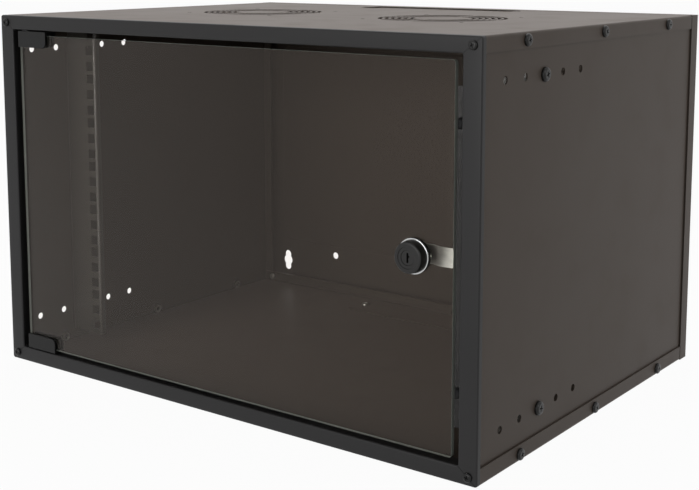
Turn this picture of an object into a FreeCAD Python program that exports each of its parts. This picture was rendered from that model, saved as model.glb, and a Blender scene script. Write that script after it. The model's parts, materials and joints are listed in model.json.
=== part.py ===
import FreeCAD, Part
import math
import os

import Sketcher

# Wall-mount network cabinet, seven rack units high, with a framed glass door.
#
# Frame: +Z up, the door faces -Y and +X is to the right of someone who faces the door.
# The origin is the centre of the cabinet's box, on the plane that its bottom rests on.
# "Setback" always means the distance behind the front frame's face.

# Sizes that can each be set by itself, in millimetres: name, value, meaning.
DRIVING = (
    ("width", 540.0, "over the flanges of the top and bottom panels"),
    ("height", 342.0, "over the top and bottom panels"),
    ("body_depth", 406.0, "front frame's face to the back panel's outer face"),
    ("sheet", 1.2, "panels"),
    ("frame_sheet", 1.5, "front frame"),
    ("rail_sheet", 2.0, "rack rails"),
    ("bend_radius", 2.4, "outside of a bend"),
    ("fit_gap", 0.3, "between sheets that slide past one another"),
    ("bezel_side", 17.0, "front frame, beside the opening"),
    ("bezel_top", 13.5, "front frame, above the opening"),
    ("bezel_bottom", 14.0, "front frame, below the opening"),
    ("frame_return", 5.0, "front frame's outer edge, folded back"),
    ("opening_return", 13.0, "front frame's inner edge, folded back"),
    ("frame_screw_side", 8.0, "corner screw to the frame's side edge"),
    ("frame_screw_end", 7.0, "corner screw to the frame's top or bottom edge"),
    ("keeper_width", 12.5, "keeper strip that the cam hooks behind, out of the opening's side"),
    ("keeper_end", 25.0, "keeper strip to the opening's top or bottom"),
    ("buffer_radius", 4.5, "rubber buffer on the keeper strip"),
    ("buffer_inset", 53.0, "rubber buffer to the opening's top or bottom"),
    ("top_flange", 13.0, "top panel's side flange"),
    ("bottom_flange", 14.0, "bottom panel's side flange"),
    ("front_lip", 9.8, "panel's front edge, folded"),
    ("rear_lip", 12.0, "panel's rear edge, folded"),
    ("flange_screw_inset", 6.3, "flange screw to the panel's face"),
    ("flange_screw_front", 66.0, "first flange screw's setback"),
    ("flange_screw_rear", 73.0, "last flange screw to the back"),
    ("back_wrap", 16.0, "depth of the back panel's tray"),
    ("back_return", 12.0, "inner return of the tray"),
    ("back_press", 0.8, "depth of the field pressed into the back panel"),
    ("back_press_side", 20.0, "pressed field to the panel's sides"),
    ("back_press_end", 52.5, "pressed field to the panel's top and bottom"),
    ("back_screw_spread", 256.0, "outer back screws either side of the middle"),
    ("back_screw_inset", 6.0, "back screw to the panel's face"),
    ("keyhole_spread", 244.5, "keyholes either side of the middle"),
    ("keyhole_inset", 25.75, "keyhole's centre to the top or bottom"),
    ("keyhole_length", 24.0, "keyhole, end to end"),
    ("keyhole_slot", 4.5, "half the keyhole's width"),
    ("keyhole_bulge", 6.5, "radius of the keyhole's middle"),
    ("wall_hole_spread", 171.0, "wall fixing holes either side of the middle"),
    ("wall_hole_inset", 41.0, "wall fixing hole to the top or bottom"),
    ("wall_hole_radius", 4.0, "wall fixing hole"),
    ("vent_spread", 108.0, "fan vents either side of the middle"),
    ("vent_setback", 200.0, "fan vent's centre"),
    ("vent_rings", 6, "rings of slots in a vent"),
    ("vent_first", 28.9, "radius to the middle of the inmost ring"),
    ("vent_pitch", 5.8, "ring to ring"),
    ("vent_slot", 3.4, "width of a slot"),
    ("vent_spoke", 5.0, "web between two slots of a ring"),
    ("fan_hole_pitch", 104.8, "side of the fan's square of fixing holes"),
    ("fan_hole_radius", 2.25, "fan's fixing hole"),
    ("entry_length", 180.0, "cable entry, along the back"),
    ("entry_width", 38.0, "cable entry, front to back"),
    ("entry_inset", 25.0, "cable entry to the back"),
    ("cover_rim", 5.0, "cable entry's cover, past the entry at front and back"),
    ("cover_ear", 12.0, "cable entry's cover, past the entry at each end"),
    ("side_return", 11.0, "side panel's folded edges"),
    ("row_inset", 35.0, "row of holes to the top or bottom"),
    ("row_first", 36.0, "first hole's setback"),
    ("row_pitch", 30.8, "hole to hole"),
    ("row_holes", 5, "holes in a row"),
    ("row_hole_radius", 3.25, "hole for a rail's screw"),
    ("rail_step", 2, "holes of the row in front of the rail's screw"),
    ("rack_opening", 450.0, "between the rack rails"),
    ("rack_spacing", 465.1, "between the two columns of rack holes"),
    ("rack_unit", 44.45, "height of one rack unit"),
    ("rack_hole", 9.5, "side of a square rack hole"),
    ("rack_hole_step", 15.875, "outer holes of a unit to its middle hole"),
    ("rail_screw_depth", 18.6, "rail's face to its screws"),
    ("rail_leg", 36.0, "rail's leg along the side panel"),
    ("rail_lip", 6.0, "rail's folded inner edge"),
    ("rail_end", 12.0, "rail's end to the top or bottom"),
    ("glass", 4.0, "door's pane"),
    ("glass_setback", 2.5, "pane's outer face"),
    ("door_gap_side", 7.5, "opening to the pane, at the sides"),
    ("door_gap_top", 5.0, "opening to the pane, at the top"),
    ("door_gap_bottom", 3.5, "opening to the pane, at the bottom"),
    ("pivot_inset", 13.5, "door's pivot to the opening's left side"),
    ("pivot_setback", 6.5, "door's pivot"),
    ("pin_radius", 2.0, "pivot pin"),
    ("running_gap", 0.05, "radial clearance of a turning piece"),
    ("bush_wall", 1.4, "pivot bush"),
    ("bush_flange_radius", 5.0, "pivot bush's flange"),
    ("bush_flange", 0.8, "thickness of that flange"),
    ("bush_length", 3.0, "bush's barrel in the frame"),
    ("bush_clearance", 0.4, "hinge clamp to the bush's flange"),
    ("clamp_width", 38.5, "hinge clamp, along the pane's edge"),
    ("clamp_grip", 11.5, "hinge clamp, over the pane"),
    ("clamp_depth", 13.0, "hinge clamp, front to back"),
    ("clamp_rear_jaw", 3.5, "thickness of the jaw that the screws go through"),
    ("clamp_corner", 5.0, "rounding of the clamp's inner corner"),
    ("clamp_seat", 0.3, "clamp's web to the pane's edge"),
    ("pad_thickness", 0.5, "rubber between the clamp and the pane"),
    ("press_plate", 1.5, "plate that the clamp's screws push on"),
    ("grub_spread", 22.0, "one clamp screw to the other"),
    ("lock_inset", 35.9, "lock's axis to the pane's free edge"),
    ("lock_stand", 9.0, "lock's face in front of the pane"),
    ("lock_cap_radius", 13.25, "lock's cap"),
    ("lock_ring_radius", 14.4, "bright ring round the cap"),
    ("lock_ring_thickness", 1.0, "bright ring round the cap"),
    ("barrel_radius", 8.0, "lock's barrel"),
    ("barrel_clearance", 0.5, "barrel to the hole in the pane"),
    ("barrel_setback", 16.5, "rear end of the barrel"),
    ("plug_radius", 6.0, "part of the lock that the key turns"),
    ("key_slot_length", 7.6, "key slot"),
    ("key_slot_width", 1.6, "key slot"),
    ("key_slot_depth", 5.0, "key slot"),
    ("lock_nut", 3.5, "thickness of the nut behind the pane"),
    ("lock_nut_flats", 22.0, "across the flats of that nut"),
    ("cam", 1.5, "thickness of the cam"),
    ("cam_width", 15.5, "cam"),
    ("cam_hub_setback", 17.0, "front face of the cam at the lock"),
    ("cam_tip_setback", 14.0, "front face of the cam's tip"),
    ("cam_step_start", 9.4, "lock's axis to the start of the cam's step"),
    ("cam_step_end", 16.5, "lock's axis to the end of the cam's step"),
    ("cam_tip_gap", 1.0, "cam's tip to the keeper strip"),
    ("thread_gap", 0.1, "radial clearance drawn between a screw and its nut"),
    ("m4_radius", 2.0, "M4 screw"),
    ("m4_head_radius", 3.8, "M4 screw's head"),
    ("m4_head", 2.2, "M4 screw's head"),
    ("m4_nut_flats", 7.0, "M4 nut"),
    ("m4_nut", 3.0, "M4 nut"),
    ("m5_radius", 2.5, "M5 screw"),
    ("m5_head_radius", 5.0, "M5 screw's head"),
    ("m5_head", 2.6, "M5 screw's head"),
    ("m5_nut_flats", 8.0, "M5 nut"),
    ("m5_nut", 3.2, "M5 nut"),
    ("m6_radius", 3.0, "M6 screw"),
    ("m6_head_radius", 6.0, "M6 screw's head"),
    ("m6_head", 3.2, "M6 screw's head"),
    ("m6_nut_flats", 10.0, "M6 nut"),
    ("m6_nut", 4.5, "M6 nut"),
)

# Sizes that follow from those above: name, formula, meaning.
DERIVED = (
    ("lock_proud", "lock_stand - glass_setback", "lock's face in front of the frame's face"),
    ("face", "(lock_proud - body_depth) / 2", "the front frame's face, on Y"),
    ("back", "face + body_depth", "the back panel's outer face, on Y"),
    ("tray", "back - back_wrap", "where the panels meet the back panel, on Y"),
    ("half_width", "width / 2", ""),
    ("side_outer", "half_width - sheet - fit_gap", "side panel's outer face"),
    ("side_inner", "side_outer - sheet", "side panel's inner face"),
    ("opening_half", "half_width - bezel_side", "the frame's opening either side of the middle"),
    ("opening_top", "height - bezel_top", ""),
    ("keeper_edge", "opening_half - keeper_width", "keeper strip's free edge, on X"),
    ("keeper_front", "face + opening_return - frame_sheet", "keeper strip's front face, on Y"),
    ("glass_half", "opening_half - door_gap_side", ""),
    ("glass_top", "opening_top - door_gap_top", ""),
    ("glass_bottom", "bezel_bottom + door_gap_bottom", ""),
    ("pivot_x", "-opening_half + pivot_inset", "door's pivot"),
    ("pivot_y", "face + pivot_setback", "door's pivot"),
    ("lock_x", "glass_half - lock_inset", "lock's axis"),
    ("lock_z", "height / 2", "lock's axis"),
    ("rear_of_glass", "glass_setback + glass", "setback of the pane's inner face"),
    ("rack_units", "floor((opening_top - bezel_bottom) / rack_unit)", "units that fit in the opening"),
    ("rack_bottom", "(height - rack_units * rack_unit) / 2", "bottom of the lowest unit"),
    ("rail_screw_y", "face + row_first + rail_step * row_pitch", "rail's screws"),
    ("rail_face", "rail_screw_y - rail_screw_depth", "face of the rack rails, on Y"),
    ("bush_outer", "pin_radius + running_gap + bush_wall", "bush's outer radius"),
)

DOC = FreeCAD.newDocument("WallCabinet")
SHEET = DOC.addObject("Spreadsheet::Sheet", "Dims")
NODES = []

# Small round pieces and covered holes are drawn with few sides, which keeps the model light.
HEAD_SIDES = 12
FIXING_SIDES = 8
LOCK_SIDES = 24
VENT_CHORDS = 4


def fill_sheet():
    """Write the driving sizes as plain numbers and the derived ones as formulas."""
    rows = [(name, str(value), note) for name, value, note in DRIVING]
    rows += [(name, "=" + formula, note) for name, formula, note in DERIVED]
    for row, (name, content, note) in enumerate(rows, start=1):
        SHEET.set(f"A{row}", name)
        SHEET.set(f"B{row}", content)
        SHEET.set(f"C{row}", note)
        SHEET.setAlias(f"B{row}", name)
    DOC.recompute()


class Size:
    """A number together with the expression over the sheet that gives it."""

    def __init__(self, text, value):
        self.text = text
        self.value = value

    @staticmethod
    def of(number):
        """Return number as a Size, whether it is one already or a plain number."""
        return number if isinstance(number, Size) else Size(repr(number), float(number))

    def __add__(self, other):
        other = Size.of(other)
        return Size(f"({self.text} + {other.text})", self.value + other.value)

    def __sub__(self, other):
        other = Size.of(other)
        return Size(f"({self.text} - {other.text})", self.value - other.value)

    def __mul__(self, other):
        other = Size.of(other)
        return Size(f"({self.text} * {other.text})", self.value * other.value)

    def __truediv__(self, other):
        other = Size.of(other)
        return Size(f"({self.text} / {other.text})", self.value / other.value)

    def __neg__(self):
        return Size(f"(-{self.text})", -self.value)

    def __radd__(self, other):
        return Size.of(other) + self

    def __rsub__(self, other):
        return Size.of(other) - self

    def __rmul__(self, other):
        return Size.of(other) * self

    def root(self):
        """Return the square root."""
        return Size(f"sqrt({self.text})", self.value**0.5)


class Dims:
    """The sheet's sizes by name, each as a Size bound to its cell."""

    def __getattr__(self, name):
        return Size(f"Dims.{name}", float(SHEET.get(name)))


D = Dims()


def bind(thing, path, size):
    """Bind one property of a document object to a Size."""
    thing.setExpression(path, Size.of(size).text)


class Drawing:
    """The lines, circles and dimensions of one sketch, added to it all at once."""

    def __init__(self, sketch):
        self.sketch = sketch
        self.geometry = []
        self.constraints = []
        self.sizes = {}

    def add(self, shape):
        """Add a line or a circle and return its number in the sketch."""
        self.geometry.append(shape)
        return len(self.geometry) - 1

    def join(self, *places):
        """Make the end points of two lines meet."""
        self.constraints.append(Sketcher.Constraint("Coincident", *places))

    def measure(self, kind, place, size):
        """Add one dimension whose value is bound to a Size."""
        self.sizes[len(self.constraints)] = size
        self.constraints.append(Sketcher.Constraint(kind, *place, size.value))

    def finish(self):
        """Write everything into the sketch."""
        self.sketch.addGeometry(self.geometry, False)
        self.sketch.addConstraint(self.constraints)
        for index, size in self.sizes.items():
            bind(self.sketch, f"Constraints[{index}]", size)


class Outline:
    """A closed loop of straight edges through corners given as (u, v) pairs."""

    def __init__(self, *corners):
        self.corners = [(Size.of(u), Size.of(v)) for u, v in corners]

    def draw(self, drawing):
        """Add the loop to a drawing, every corner bound to the sheet."""
        points = [FreeCAD.Vector(u.value, v.value, 0) for u, v in self.corners]
        following = points[1:] + points[:1]
        lines = [drawing.add(Part.LineSegment(*ends)) for ends in zip(points, following)]
        for line, after in zip(lines, lines[1:] + lines[:1]):
            drawing.join(line, 2, after, 1)
        for line, (u, v) in zip(lines, self.corners):
            drawing.measure("DistanceX", (line, 1), u)
            drawing.measure("DistanceY", (line, 1), v)


class Circle:
    """A circle about (u, v)."""

    def __init__(self, u, v, radius):
        self.centre = (Size.of(u), Size.of(v))
        self.radius = Size.of(radius)

    def draw(self, drawing):
        """Add the circle to a drawing, its centre and radius bound to the sheet."""
        u, v = self.centre
        centre = FreeCAD.Vector(u.value, v.value, 0)
        circle = drawing.add(Part.Circle(centre, FreeCAD.Vector(0, 0, 1), self.radius.value))
        drawing.measure("DistanceX", (circle, 3), u)
        drawing.measure("DistanceY", (circle, 3), v)
        drawing.measure("Radius", (circle,), self.radius)


def box(u0, u1, v0, v1):
    """Return the outline of a rectangle."""
    return Outline((u0, v0), (u1, v0), (u1, v1), (u0, v1))


def round_peg(u, v, radius, sides):
    """Return a regular outline that stands for a circle and stays inside it."""
    turns = [2 * math.pi * (i + 0.5) / sides for i in range(sides)]
    return Outline(*[(u + radius * math.cos(turn), v + radius * math.sin(turn)) for turn in turns])


def round_hole(u, v, radius, sides):
    """Return a regular outline that stands for a circle and stays outside it."""
    return round_peg(u, v, radius * (1 / math.cos(math.pi / sides)), sides)


def fixing(u, v, thread):
    """Return the clearance hole of a screw, which its head or nut covers."""
    return round_hole(u, v, getattr(D, f"{thread}_radius") + D.thread_gap, FIXING_SIDES)


def quarter_slot(inner, outer, margin):
    """Return a quarter of a ring about the origin, between two radii.

    Its ends are straight and stop at the margin from the two axes.
    """
    steps = [math.pi / 2 * i / VENT_CHORDS for i in range(1, VENT_CHORDS)]
    corners = []
    for radius in (inner, outer):
        reach = (radius * radius - margin * margin).root()
        arc = [(reach, margin)]
        arc += [(radius * math.cos(turn), radius * math.sin(turn)) for turn in steps]
        arc.append((margin, reach))
        corners += arc if radius is inner else arc[::-1]
    return Outline(*corners)


def body(label):
    """Start a new body and count it as a node."""
    made = part_body(label)
    NODES.append(made)
    return made


def part_body(label):
    """Start a new body that isn't a node by itself."""
    made = DOC.addObject("PartDesign::Body", label)
    made.Label = label
    return made


def add_sketch(owner, plane, level, shapes, origin=(0, 0)):
    """Draw shapes on one of a body's origin planes, moved along the axis to level."""
    sketch = owner.newObject("Sketcher::SketchObject", f"{owner.Label}_sketch")
    role = f"{plane}_Plane"
    support = [item for item in owner.Origin.OriginFeatures if item.Role == role]
    sketch.AttachmentSupport = [(support[0], "")]
    sketch.MapMode = "FlatFace"
    bind(sketch, "AttachmentOffset.Base.x", origin[0])
    bind(sketch, "AttachmentOffset.Base.y", origin[1])
    # The XZ plane's normal points along -Y, the other two along +Z and +X.
    bind(sketch, "AttachmentOffset.Base.z", -Size.of(level) if plane == "XZ" else level)
    drawing = Drawing(sketch)
    for shape in shapes:
        shape.draw(drawing)
    drawing.finish()
    return sketch


def add_feature(owner, kind, sketch):
    """Add a feature that works on a sketch."""
    feature = owner.newObject(f"PartDesign::{kind}", f"{owner.Label}_{kind.lower()}")
    feature.Profile = sketch
    sketch.Visibility = False
    return feature


def pad(owner, plane, start, end, *shapes):
    """Fill shapes from one level to the other along the plane's axis."""
    start, end = sorted((Size.of(start), Size.of(end)), key=lambda size: size.value)
    feature = add_feature(owner, "Pad", add_sketch(owner, plane, start, shapes))
    bind(feature, "Length", end - start)
    feature.Reversed = plane == "XZ"
    DOC.recompute()
    return feature


def pocket(owner, plane, start, end, *shapes, origin=(0, 0)):
    """Cut shapes out from one level to the other, and make sure that they cut."""
    start, end = sorted((Size.of(start), Size.of(end)), key=lambda size: size.value)
    before = owner.Shape.Volume
    feature = add_feature(owner, "Pocket", add_sketch(owner, plane, start, shapes, origin))
    bind(feature, "Length", end - start)
    feature.Reversed = plane != "XZ"
    DOC.recompute()
    if not owner.Shape.Volume < before:
        raise ValueError(f"a pocket of {owner.Label} cuts nothing")
    return feature


def repeat_along(owner, feature, axis, count, pitch):
    """Repeat a feature along one of the sketch's axes."""
    pattern = owner.newObject("PartDesign::LinearPattern", f"{owner.Label}_row")
    pattern.Originals = [feature]
    pattern.Direction = (feature.Profile[0], [axis])
    pattern.Mode = "Spacing"
    bind(pattern, "Offset", pitch)
    bind(pattern, "Occurrences", count)
    owner.Tip = pattern
    DOC.recompute()
    return pattern


def repeat_round(owner, feature, count):
    """Repeat a feature about its sketch's own normal."""
    pattern = owner.newObject("PartDesign::PolarPattern", f"{owner.Label}_ring")
    pattern.Originals = [feature]
    pattern.Axis = (feature.Profile[0], ["N_Axis"])
    pattern.Angle = 360
    pattern.Occurrences = count
    owner.Tip = pattern
    DOC.recompute()
    return pattern


def edges_along(shape, axis, spots):
    """Return the names of straight edges along an axis that pass through the spots.

    A spot gives the two coordinates across the axis, in X, Y, Z order.
    """
    across = [i for i in range(3) if i != "XYZ".index(axis)]
    wanted = [[Size.of(value).value for value in spot] for spot in spots]
    found = []
    for number, edge in enumerate(shape.Edges, start=1):
        ends = [vertex.Point for vertex in edge.Vertexes]
        if len(ends) != 2 or edge.Curve.TypeId != "Part::GeomLine":
            continue
        for spot in wanted:
            offsets = [abs(end[i] - value) for end in ends for i, value in zip(across, spot)]
            if max(offsets) < 0.01:
                found.append(f"Edge{number}")
    return found


def dress_edges(owner, kind, axis, size, *spots):
    """Round or bevel the edges of a body that run along an axis through the spots."""
    base = owner.Tip
    names = edges_along(base.Shape, axis, spots)
    if not names:
        raise ValueError(f"{owner.Label} has no such edge")
    feature = owner.newObject(f"PartDesign::{kind}", f"{owner.Label}_{kind.lower()}")
    feature.Base = (base, names)
    bind(feature, "Radius" if kind == "Fillet" else "Size", size)
    DOC.recompute()
    return feature


def round_edges(owner, axis, radius, *spots):
    """Round the edges of a body that run along an axis through the spots."""
    return dress_edges(owner, "Fillet", axis, radius, *spots)


def bevel_edges(owner, axis, size, *spots):
    """Bevel the edges of a body that run along an axis through the spots."""
    return dress_edges(owner, "Chamfer", axis, size, *spots)


def place(thing, x, y, z, towards=(0, 0, 1)):
    """Put a piece at a point, with its own Z axis along a direction."""
    rotation = FreeCAD.Rotation(FreeCAD.Vector(0, 0, 1), FreeCAD.Vector(*towards))
    thing.Placement = FreeCAD.Placement(FreeCAD.Vector(0, 0, 0), rotation)
    for letter, size in zip("xyz", (x, y, z)):
        bind(thing, f"Placement.Base.{letter}", size)


def group(label, master, spots):
    """Make one node of separate copies of a piece, each at (x, y, z, towards)."""
    links = []
    for spot in spots:
        link = DOC.addObject("App::Link", f"{label}_copy")
        link.LinkedObject = master
        place(link, *spot)
        links.append(link)
    made = DOC.addObject("Part::Compound", label)
    made.Label = label
    made.Links = links
    NODES.append(made)


def screw(name, size, length):
    """Make a pan-head screw whose seat is at its origin and whose head is above it."""
    made = part_body(name)
    shank = round_peg(0, 0, getattr(D, f"{size}_radius"), FIXING_SIDES)
    head = round_peg(0, 0, getattr(D, f"{size}_head_radius"), HEAD_SIDES)
    pad(made, "XY", -Size.of(length), 0, shank)
    pad(made, "XY", 0, getattr(D, f"{size}_head"), head)
    return made


def nut(name, size):
    """Make a hexagon nut that stands on its origin."""
    made = part_body(name)
    outline = hexagon(getattr(D, f"{size}_nut_flats"))
    pad(made, "XY", 0, getattr(D, f"{size}_nut"), outline, fixing(0, 0, size))
    return made


def hexagon(flats):
    """Return a hexagon's outline about the origin."""
    half = flats / 2
    short = half / Size.of(3).root()
    tip = short * 2
    return Outline((tip, 0), (short, half), (-short, half), (-tip, 0), (-short, -half), (short, -half))


def front_frame():
    """Front frame: a shallow tray with an opening and folded edges."""
    frame = body("front_frame")
    outer = box(-D.half_width, D.half_width, 0, D.height)
    half, low, high = D.opening_half, D.bezel_bottom, D.opening_top
    opening = box(-half, half, low, high)
    skin = D.frame_sheet
    around = box(-half - skin, half + skin, low - skin, high + skin)
    inside = box(-D.half_width + skin, D.half_width - skin, skin, D.height - skin)
    pad(frame, "XZ", D.face, D.face + D.frame_return, outer, opening)
    pocket(frame, "XZ", D.face + skin, D.face + D.frame_return, inside, around)
    pad(frame, "XZ", D.face + skin, D.face + D.opening_return, around, opening)
    keeper = box(D.keeper_edge, half + skin, low + D.keeper_end, high - D.keeper_end)
    pad(frame, "XZ", D.keeper_front, D.keeper_front + skin, keeper)
    bush_hole = round_hole(D.pivot_x, D.pivot_y, D.bush_outer + D.running_gap, HEAD_SIDES)
    pocket(frame, "XY", low - skin, high + skin, bush_hole)
    corners = [fixing(x, z, "m4") for x, z in frame_screw_spots()]
    pocket(frame, "XZ", D.face, D.face + skin, *corners)
    bevel = D.frame_sheet / 2
    sides = [(x, D.face) for x in (-D.half_width, -half, half, D.half_width)]
    bevel_edges(frame, "Z", bevel, *sides)
    bevel_edges(frame, "X", bevel, *[(D.face, z) for z in (0, low, high, D.height)])


def frame_screw_spots():
    """Return x and z of the four corner screws."""
    side = D.half_width - D.frame_screw_side
    levels = (D.frame_screw_end, D.height - D.frame_screw_end)
    return [(x, z) for x in (-side, side) for z in levels]


def flange_screw_levels():
    """Return y of the screws in a side flange."""
    first = D.face + D.flange_screw_front
    last = D.back - D.flange_screw_rear
    return [first, (first + last) / 2, last]


def cap_panel(label, outer, inward, flange):
    """Top or bottom panel: a plate with two side flanges and folded front and rear edges.

    outer is the level of its face, inward is 1 where the inside is above it and -1 below,
    and flange is the height of its side flanges.
    """
    panel = body(label)
    front = D.face + D.frame_return
    inner = outer + D.sheet * inward
    edge = outer + flange * inward
    half, wall = D.half_width, D.half_width - D.sheet
    rim = [(-half, edge), (-half, outer), (half, outer), (half, edge)]
    rim += [(wall, edge), (wall, inner), (-wall, inner), (-wall, edge)]
    pad(panel, "XZ", front, D.tray, Outline(*rim))
    round_edges(panel, "Y", D.bend_radius, (-half, outer), (half, outer))
    round_edges(panel, "Y", D.bend_radius - D.sheet, (-wall, inner), (wall, inner))
    lip_half = wall - D.bend_radius
    front_lip = box(-lip_half, lip_half, inner, outer + D.front_lip * inward)
    pad(panel, "XZ", front, front + D.sheet, front_lip)
    rear_lip = box(-lip_half, lip_half, inner, outer + D.rear_lip * inward)
    pad(panel, "XZ", D.tray - D.sheet, D.tray, rear_lip)
    level = outer + D.flange_screw_inset * inward
    flange_holes = [fixing(y, level, "m5") for y in flange_screw_levels()]
    pocket(panel, "YZ", -half, half, *flange_holes)
    screw_z = outer + D.frame_screw_end * inward
    screw_x = D.half_width - D.frame_screw_side
    lip_holes = [fixing(x, screw_z, "m4") for x in (-screw_x, screw_x)]
    pocket(panel, "XZ", front, front + D.sheet, *lip_holes)
    back_z = outer + D.back_screw_inset * inward
    back_holes = [fixing(x, back_z, "m4") for x in back_screw_columns()]
    pocket(panel, "XZ", D.tray - D.sheet, D.tray, *back_holes)
    entry_rear = D.back - D.entry_inset
    entry = box(-D.entry_length / 2, D.entry_length / 2, entry_rear - D.entry_width, entry_rear)
    cover_holes = [fixing(x, y, "m4") for x, y in cover_screw_spots()]
    pocket(panel, "XY", outer, inner, entry, *cover_holes)
    return panel


def back_screw_columns():
    """Return x of the screws in a panel's rear edge."""
    return [-D.back_screw_spread, D.back_screw_spread]


def cover_screw_spots():
    """Return x and y of the screws of a cable entry's cover."""
    x = D.entry_length / 2 + D.cover_ear / 2
    y = D.back - D.entry_inset - D.entry_width / 2
    return [(-x, y), (x, y)]


def fan_vents(panel):
    """Cut the two round vents: rings of slots in four quarters, and the fan's fixing holes."""
    outer, inner = D.height, D.height - D.sheet
    rings = []
    for ring in range(int(D.vent_rings.value)):
        middle = D.vent_first + D.vent_pitch * ring
        half_slot = D.vent_slot / 2
        rings.append(quarter_slot(middle - half_slot, middle + half_slot, D.vent_spoke / 2))
    for side in (-1, 1):
        centre = (D.vent_spread * side, D.face + D.vent_setback)
        quarter = pocket(panel, "XY", inner, outer, *rings, origin=centre)
        repeat_round(panel, quarter, 4)
        corner = D.fan_hole_pitch / 2
        fan_hole = pocket(
            panel, "XY", inner, outer, Circle(corner, corner, D.fan_hole_radius), origin=centre
        )
        repeat_round(panel, fan_hole, 4)


def entry_cover(label, outer, inward):
    """Blanking plate that closes a cable entry from the inside."""
    cover = body(label)
    low = outer + D.sheet * inward
    half = D.entry_length / 2 + D.cover_ear
    rear = D.back - D.entry_inset + D.cover_rim
    front = rear - D.entry_width - D.cover_rim * 2
    holes = [fixing(x, y, "m4") for x, y in cover_screw_spots()]
    pad(cover, "XY", low, low + D.sheet * inward, box(-half, half, front, rear), *holes)


def side_panel(label, side):
    """Side panel: a plate with folded front and rear edges, behind the flanges."""
    panel = body(label)
    front = D.face + D.frame_return + D.fit_gap
    rear = D.tray - D.fit_gap
    low = D.sheet + D.fit_gap * 3
    high = D.height - low
    outer, inner = D.side_outer * side, D.side_inner * side
    pad(panel, "YZ", outer, inner, box(front, rear, low, high))
    fold = (D.side_outer - D.side_return) * side
    fold_low = D.bezel_bottom + D.fit_gap
    fold_high = D.opening_top - D.fit_gap
    front_fold = box(outer, fold, fold_low, fold_high)
    pad(panel, "XZ", front, front + D.sheet, front_fold)
    pad(panel, "XZ", rear - D.sheet, rear, front_fold)
    first = D.face + D.row_first
    levels = (D.row_inset, D.height - D.row_inset)
    row = [round_hole(first, z, D.row_hole_radius, HEAD_SIDES) for z in levels]
    holes = pocket(panel, "YZ", outer, inner, *row)
    repeat_along(panel, holes, "H_Axis", D.row_holes, D.row_pitch)
    screw_levels = (D.flange_screw_inset, D.height - D.flange_screw_inset)
    fixings = [fixing(y, z, "m5") for y in flange_screw_levels() for z in screw_levels]
    pocket(panel, "YZ", outer, inner, *fixings)


def back_panel():
    """Back panel: a tray open to the front, its edges folded inwards again."""
    panel = body("back_panel")
    half, skin, deep = D.half_width, D.sheet, D.back_return
    pad(panel, "XZ", D.tray, D.back, box(-half, half, 0, D.height))
    hollow = box(-half + skin, half - skin, skin, D.height - skin)
    pocket(panel, "XZ", D.tray + skin, D.back - skin, hollow)
    mouth = box(-half + deep, half - deep, deep, D.height - deep)
    pocket(panel, "XZ", D.tray, D.tray + skin, mouth)
    inner = D.back - skin
    pad(panel, "XZ", inner - D.back_press, inner, pressed_field(0))
    pocket(panel, "XZ", D.back - D.back_press, D.back, pressed_field(skin))
    fixings = []
    for z in (D.back_screw_inset, D.height - D.back_screw_inset):
        fixings += [fixing(x, z, "m4") for x in back_screw_columns()]
    pocket(panel, "XZ", D.tray, D.tray + skin, *fixings)
    wall_holes = []
    for z in (D.wall_hole_inset, D.height - D.wall_hole_inset):
        for x in (-D.wall_hole_spread, D.wall_hole_spread):
            wall_holes.append(Circle(x, z, D.wall_hole_radius))
    pocket(panel, "XZ", D.back - skin, D.back, *wall_holes)
    for x in (-D.keyhole_spread, D.keyhole_spread):
        for z in (D.keyhole_inset, D.height - D.keyhole_inset):
            keyhole(panel, x, z)
    bevel_edges(panel, "X", D.sheet / 2, (D.back, 0), (D.back, D.height))
    round_edges(panel, "Z", D.bend_radius, (-half, D.back), (half, D.back))


def pressed_field(inset):
    """Return the outline of the back panel's pressed field, inset all round."""
    half = D.half_width - D.back_press_side - inset
    low = D.back_press_end + inset
    return box(-half, half, low, D.height - low)


def keyhole(panel, x, z):
    """Cut a two-way keyhole: an upright slot with a round bulge in its middle."""
    reach = D.keyhole_length / 2 - D.keyhole_slot
    slot = box(x - D.keyhole_slot, x + D.keyhole_slot, z - reach, z + reach)
    pocket(panel, "XZ", D.back - D.sheet, D.back, slot)
    for level, radius in (
        (z - reach, D.keyhole_slot),
        (z + reach, D.keyhole_slot),
        (z, D.keyhole_bulge),
    ):
        round_end = round_peg(x, level, radius, HEAD_SIDES)
        pocket(panel, "XZ", D.back - D.sheet, D.back, round_end)


def rack_rail(label, side):
    """Rack rail: a folded strip with three square holes to the rack unit."""
    rail = body(label)
    skin = D.rail_sheet
    inner, outer = D.rack_opening / 2 * side, D.side_inner * side
    front = D.rail_face
    lip, leg = front + D.rail_lip, front + D.rail_leg
    inner_skin, outer_skin = inner + skin * side, outer - skin * side
    profile = [(inner, lip), (inner, front), (outer, front), (outer, leg), (outer_skin, leg)]
    profile += [(outer_skin, front + skin), (inner_skin, front + skin), (inner_skin, lip)]
    pad(rail, "XY", D.rail_end, D.height - D.rail_end, Outline(*profile))
    round_edges(rail, "Z", D.bend_radius, (inner, front), (outer, front))
    column, half_hole = D.rack_spacing / 2 * side, D.rack_hole / 2
    middle = D.rack_bottom + D.rack_unit / 2
    unit = []
    for step in (-1, 0, 1):
        z = middle + D.rack_hole_step * step
        unit.append(box(column - half_hole, column + half_hole, z - half_hole, z + half_hole))
    holes = pocket(rail, "XZ", front, front + skin, *unit)
    repeat_along(rail, holes, "V_Axis", D.rack_units, D.rack_unit)
    levels = (D.row_inset, D.height - D.row_inset)
    fixings = [fixing(D.rail_screw_y, z, "m6") for z in levels]
    pocket(rail, "YZ", outer, outer_skin, *fixings)


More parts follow.
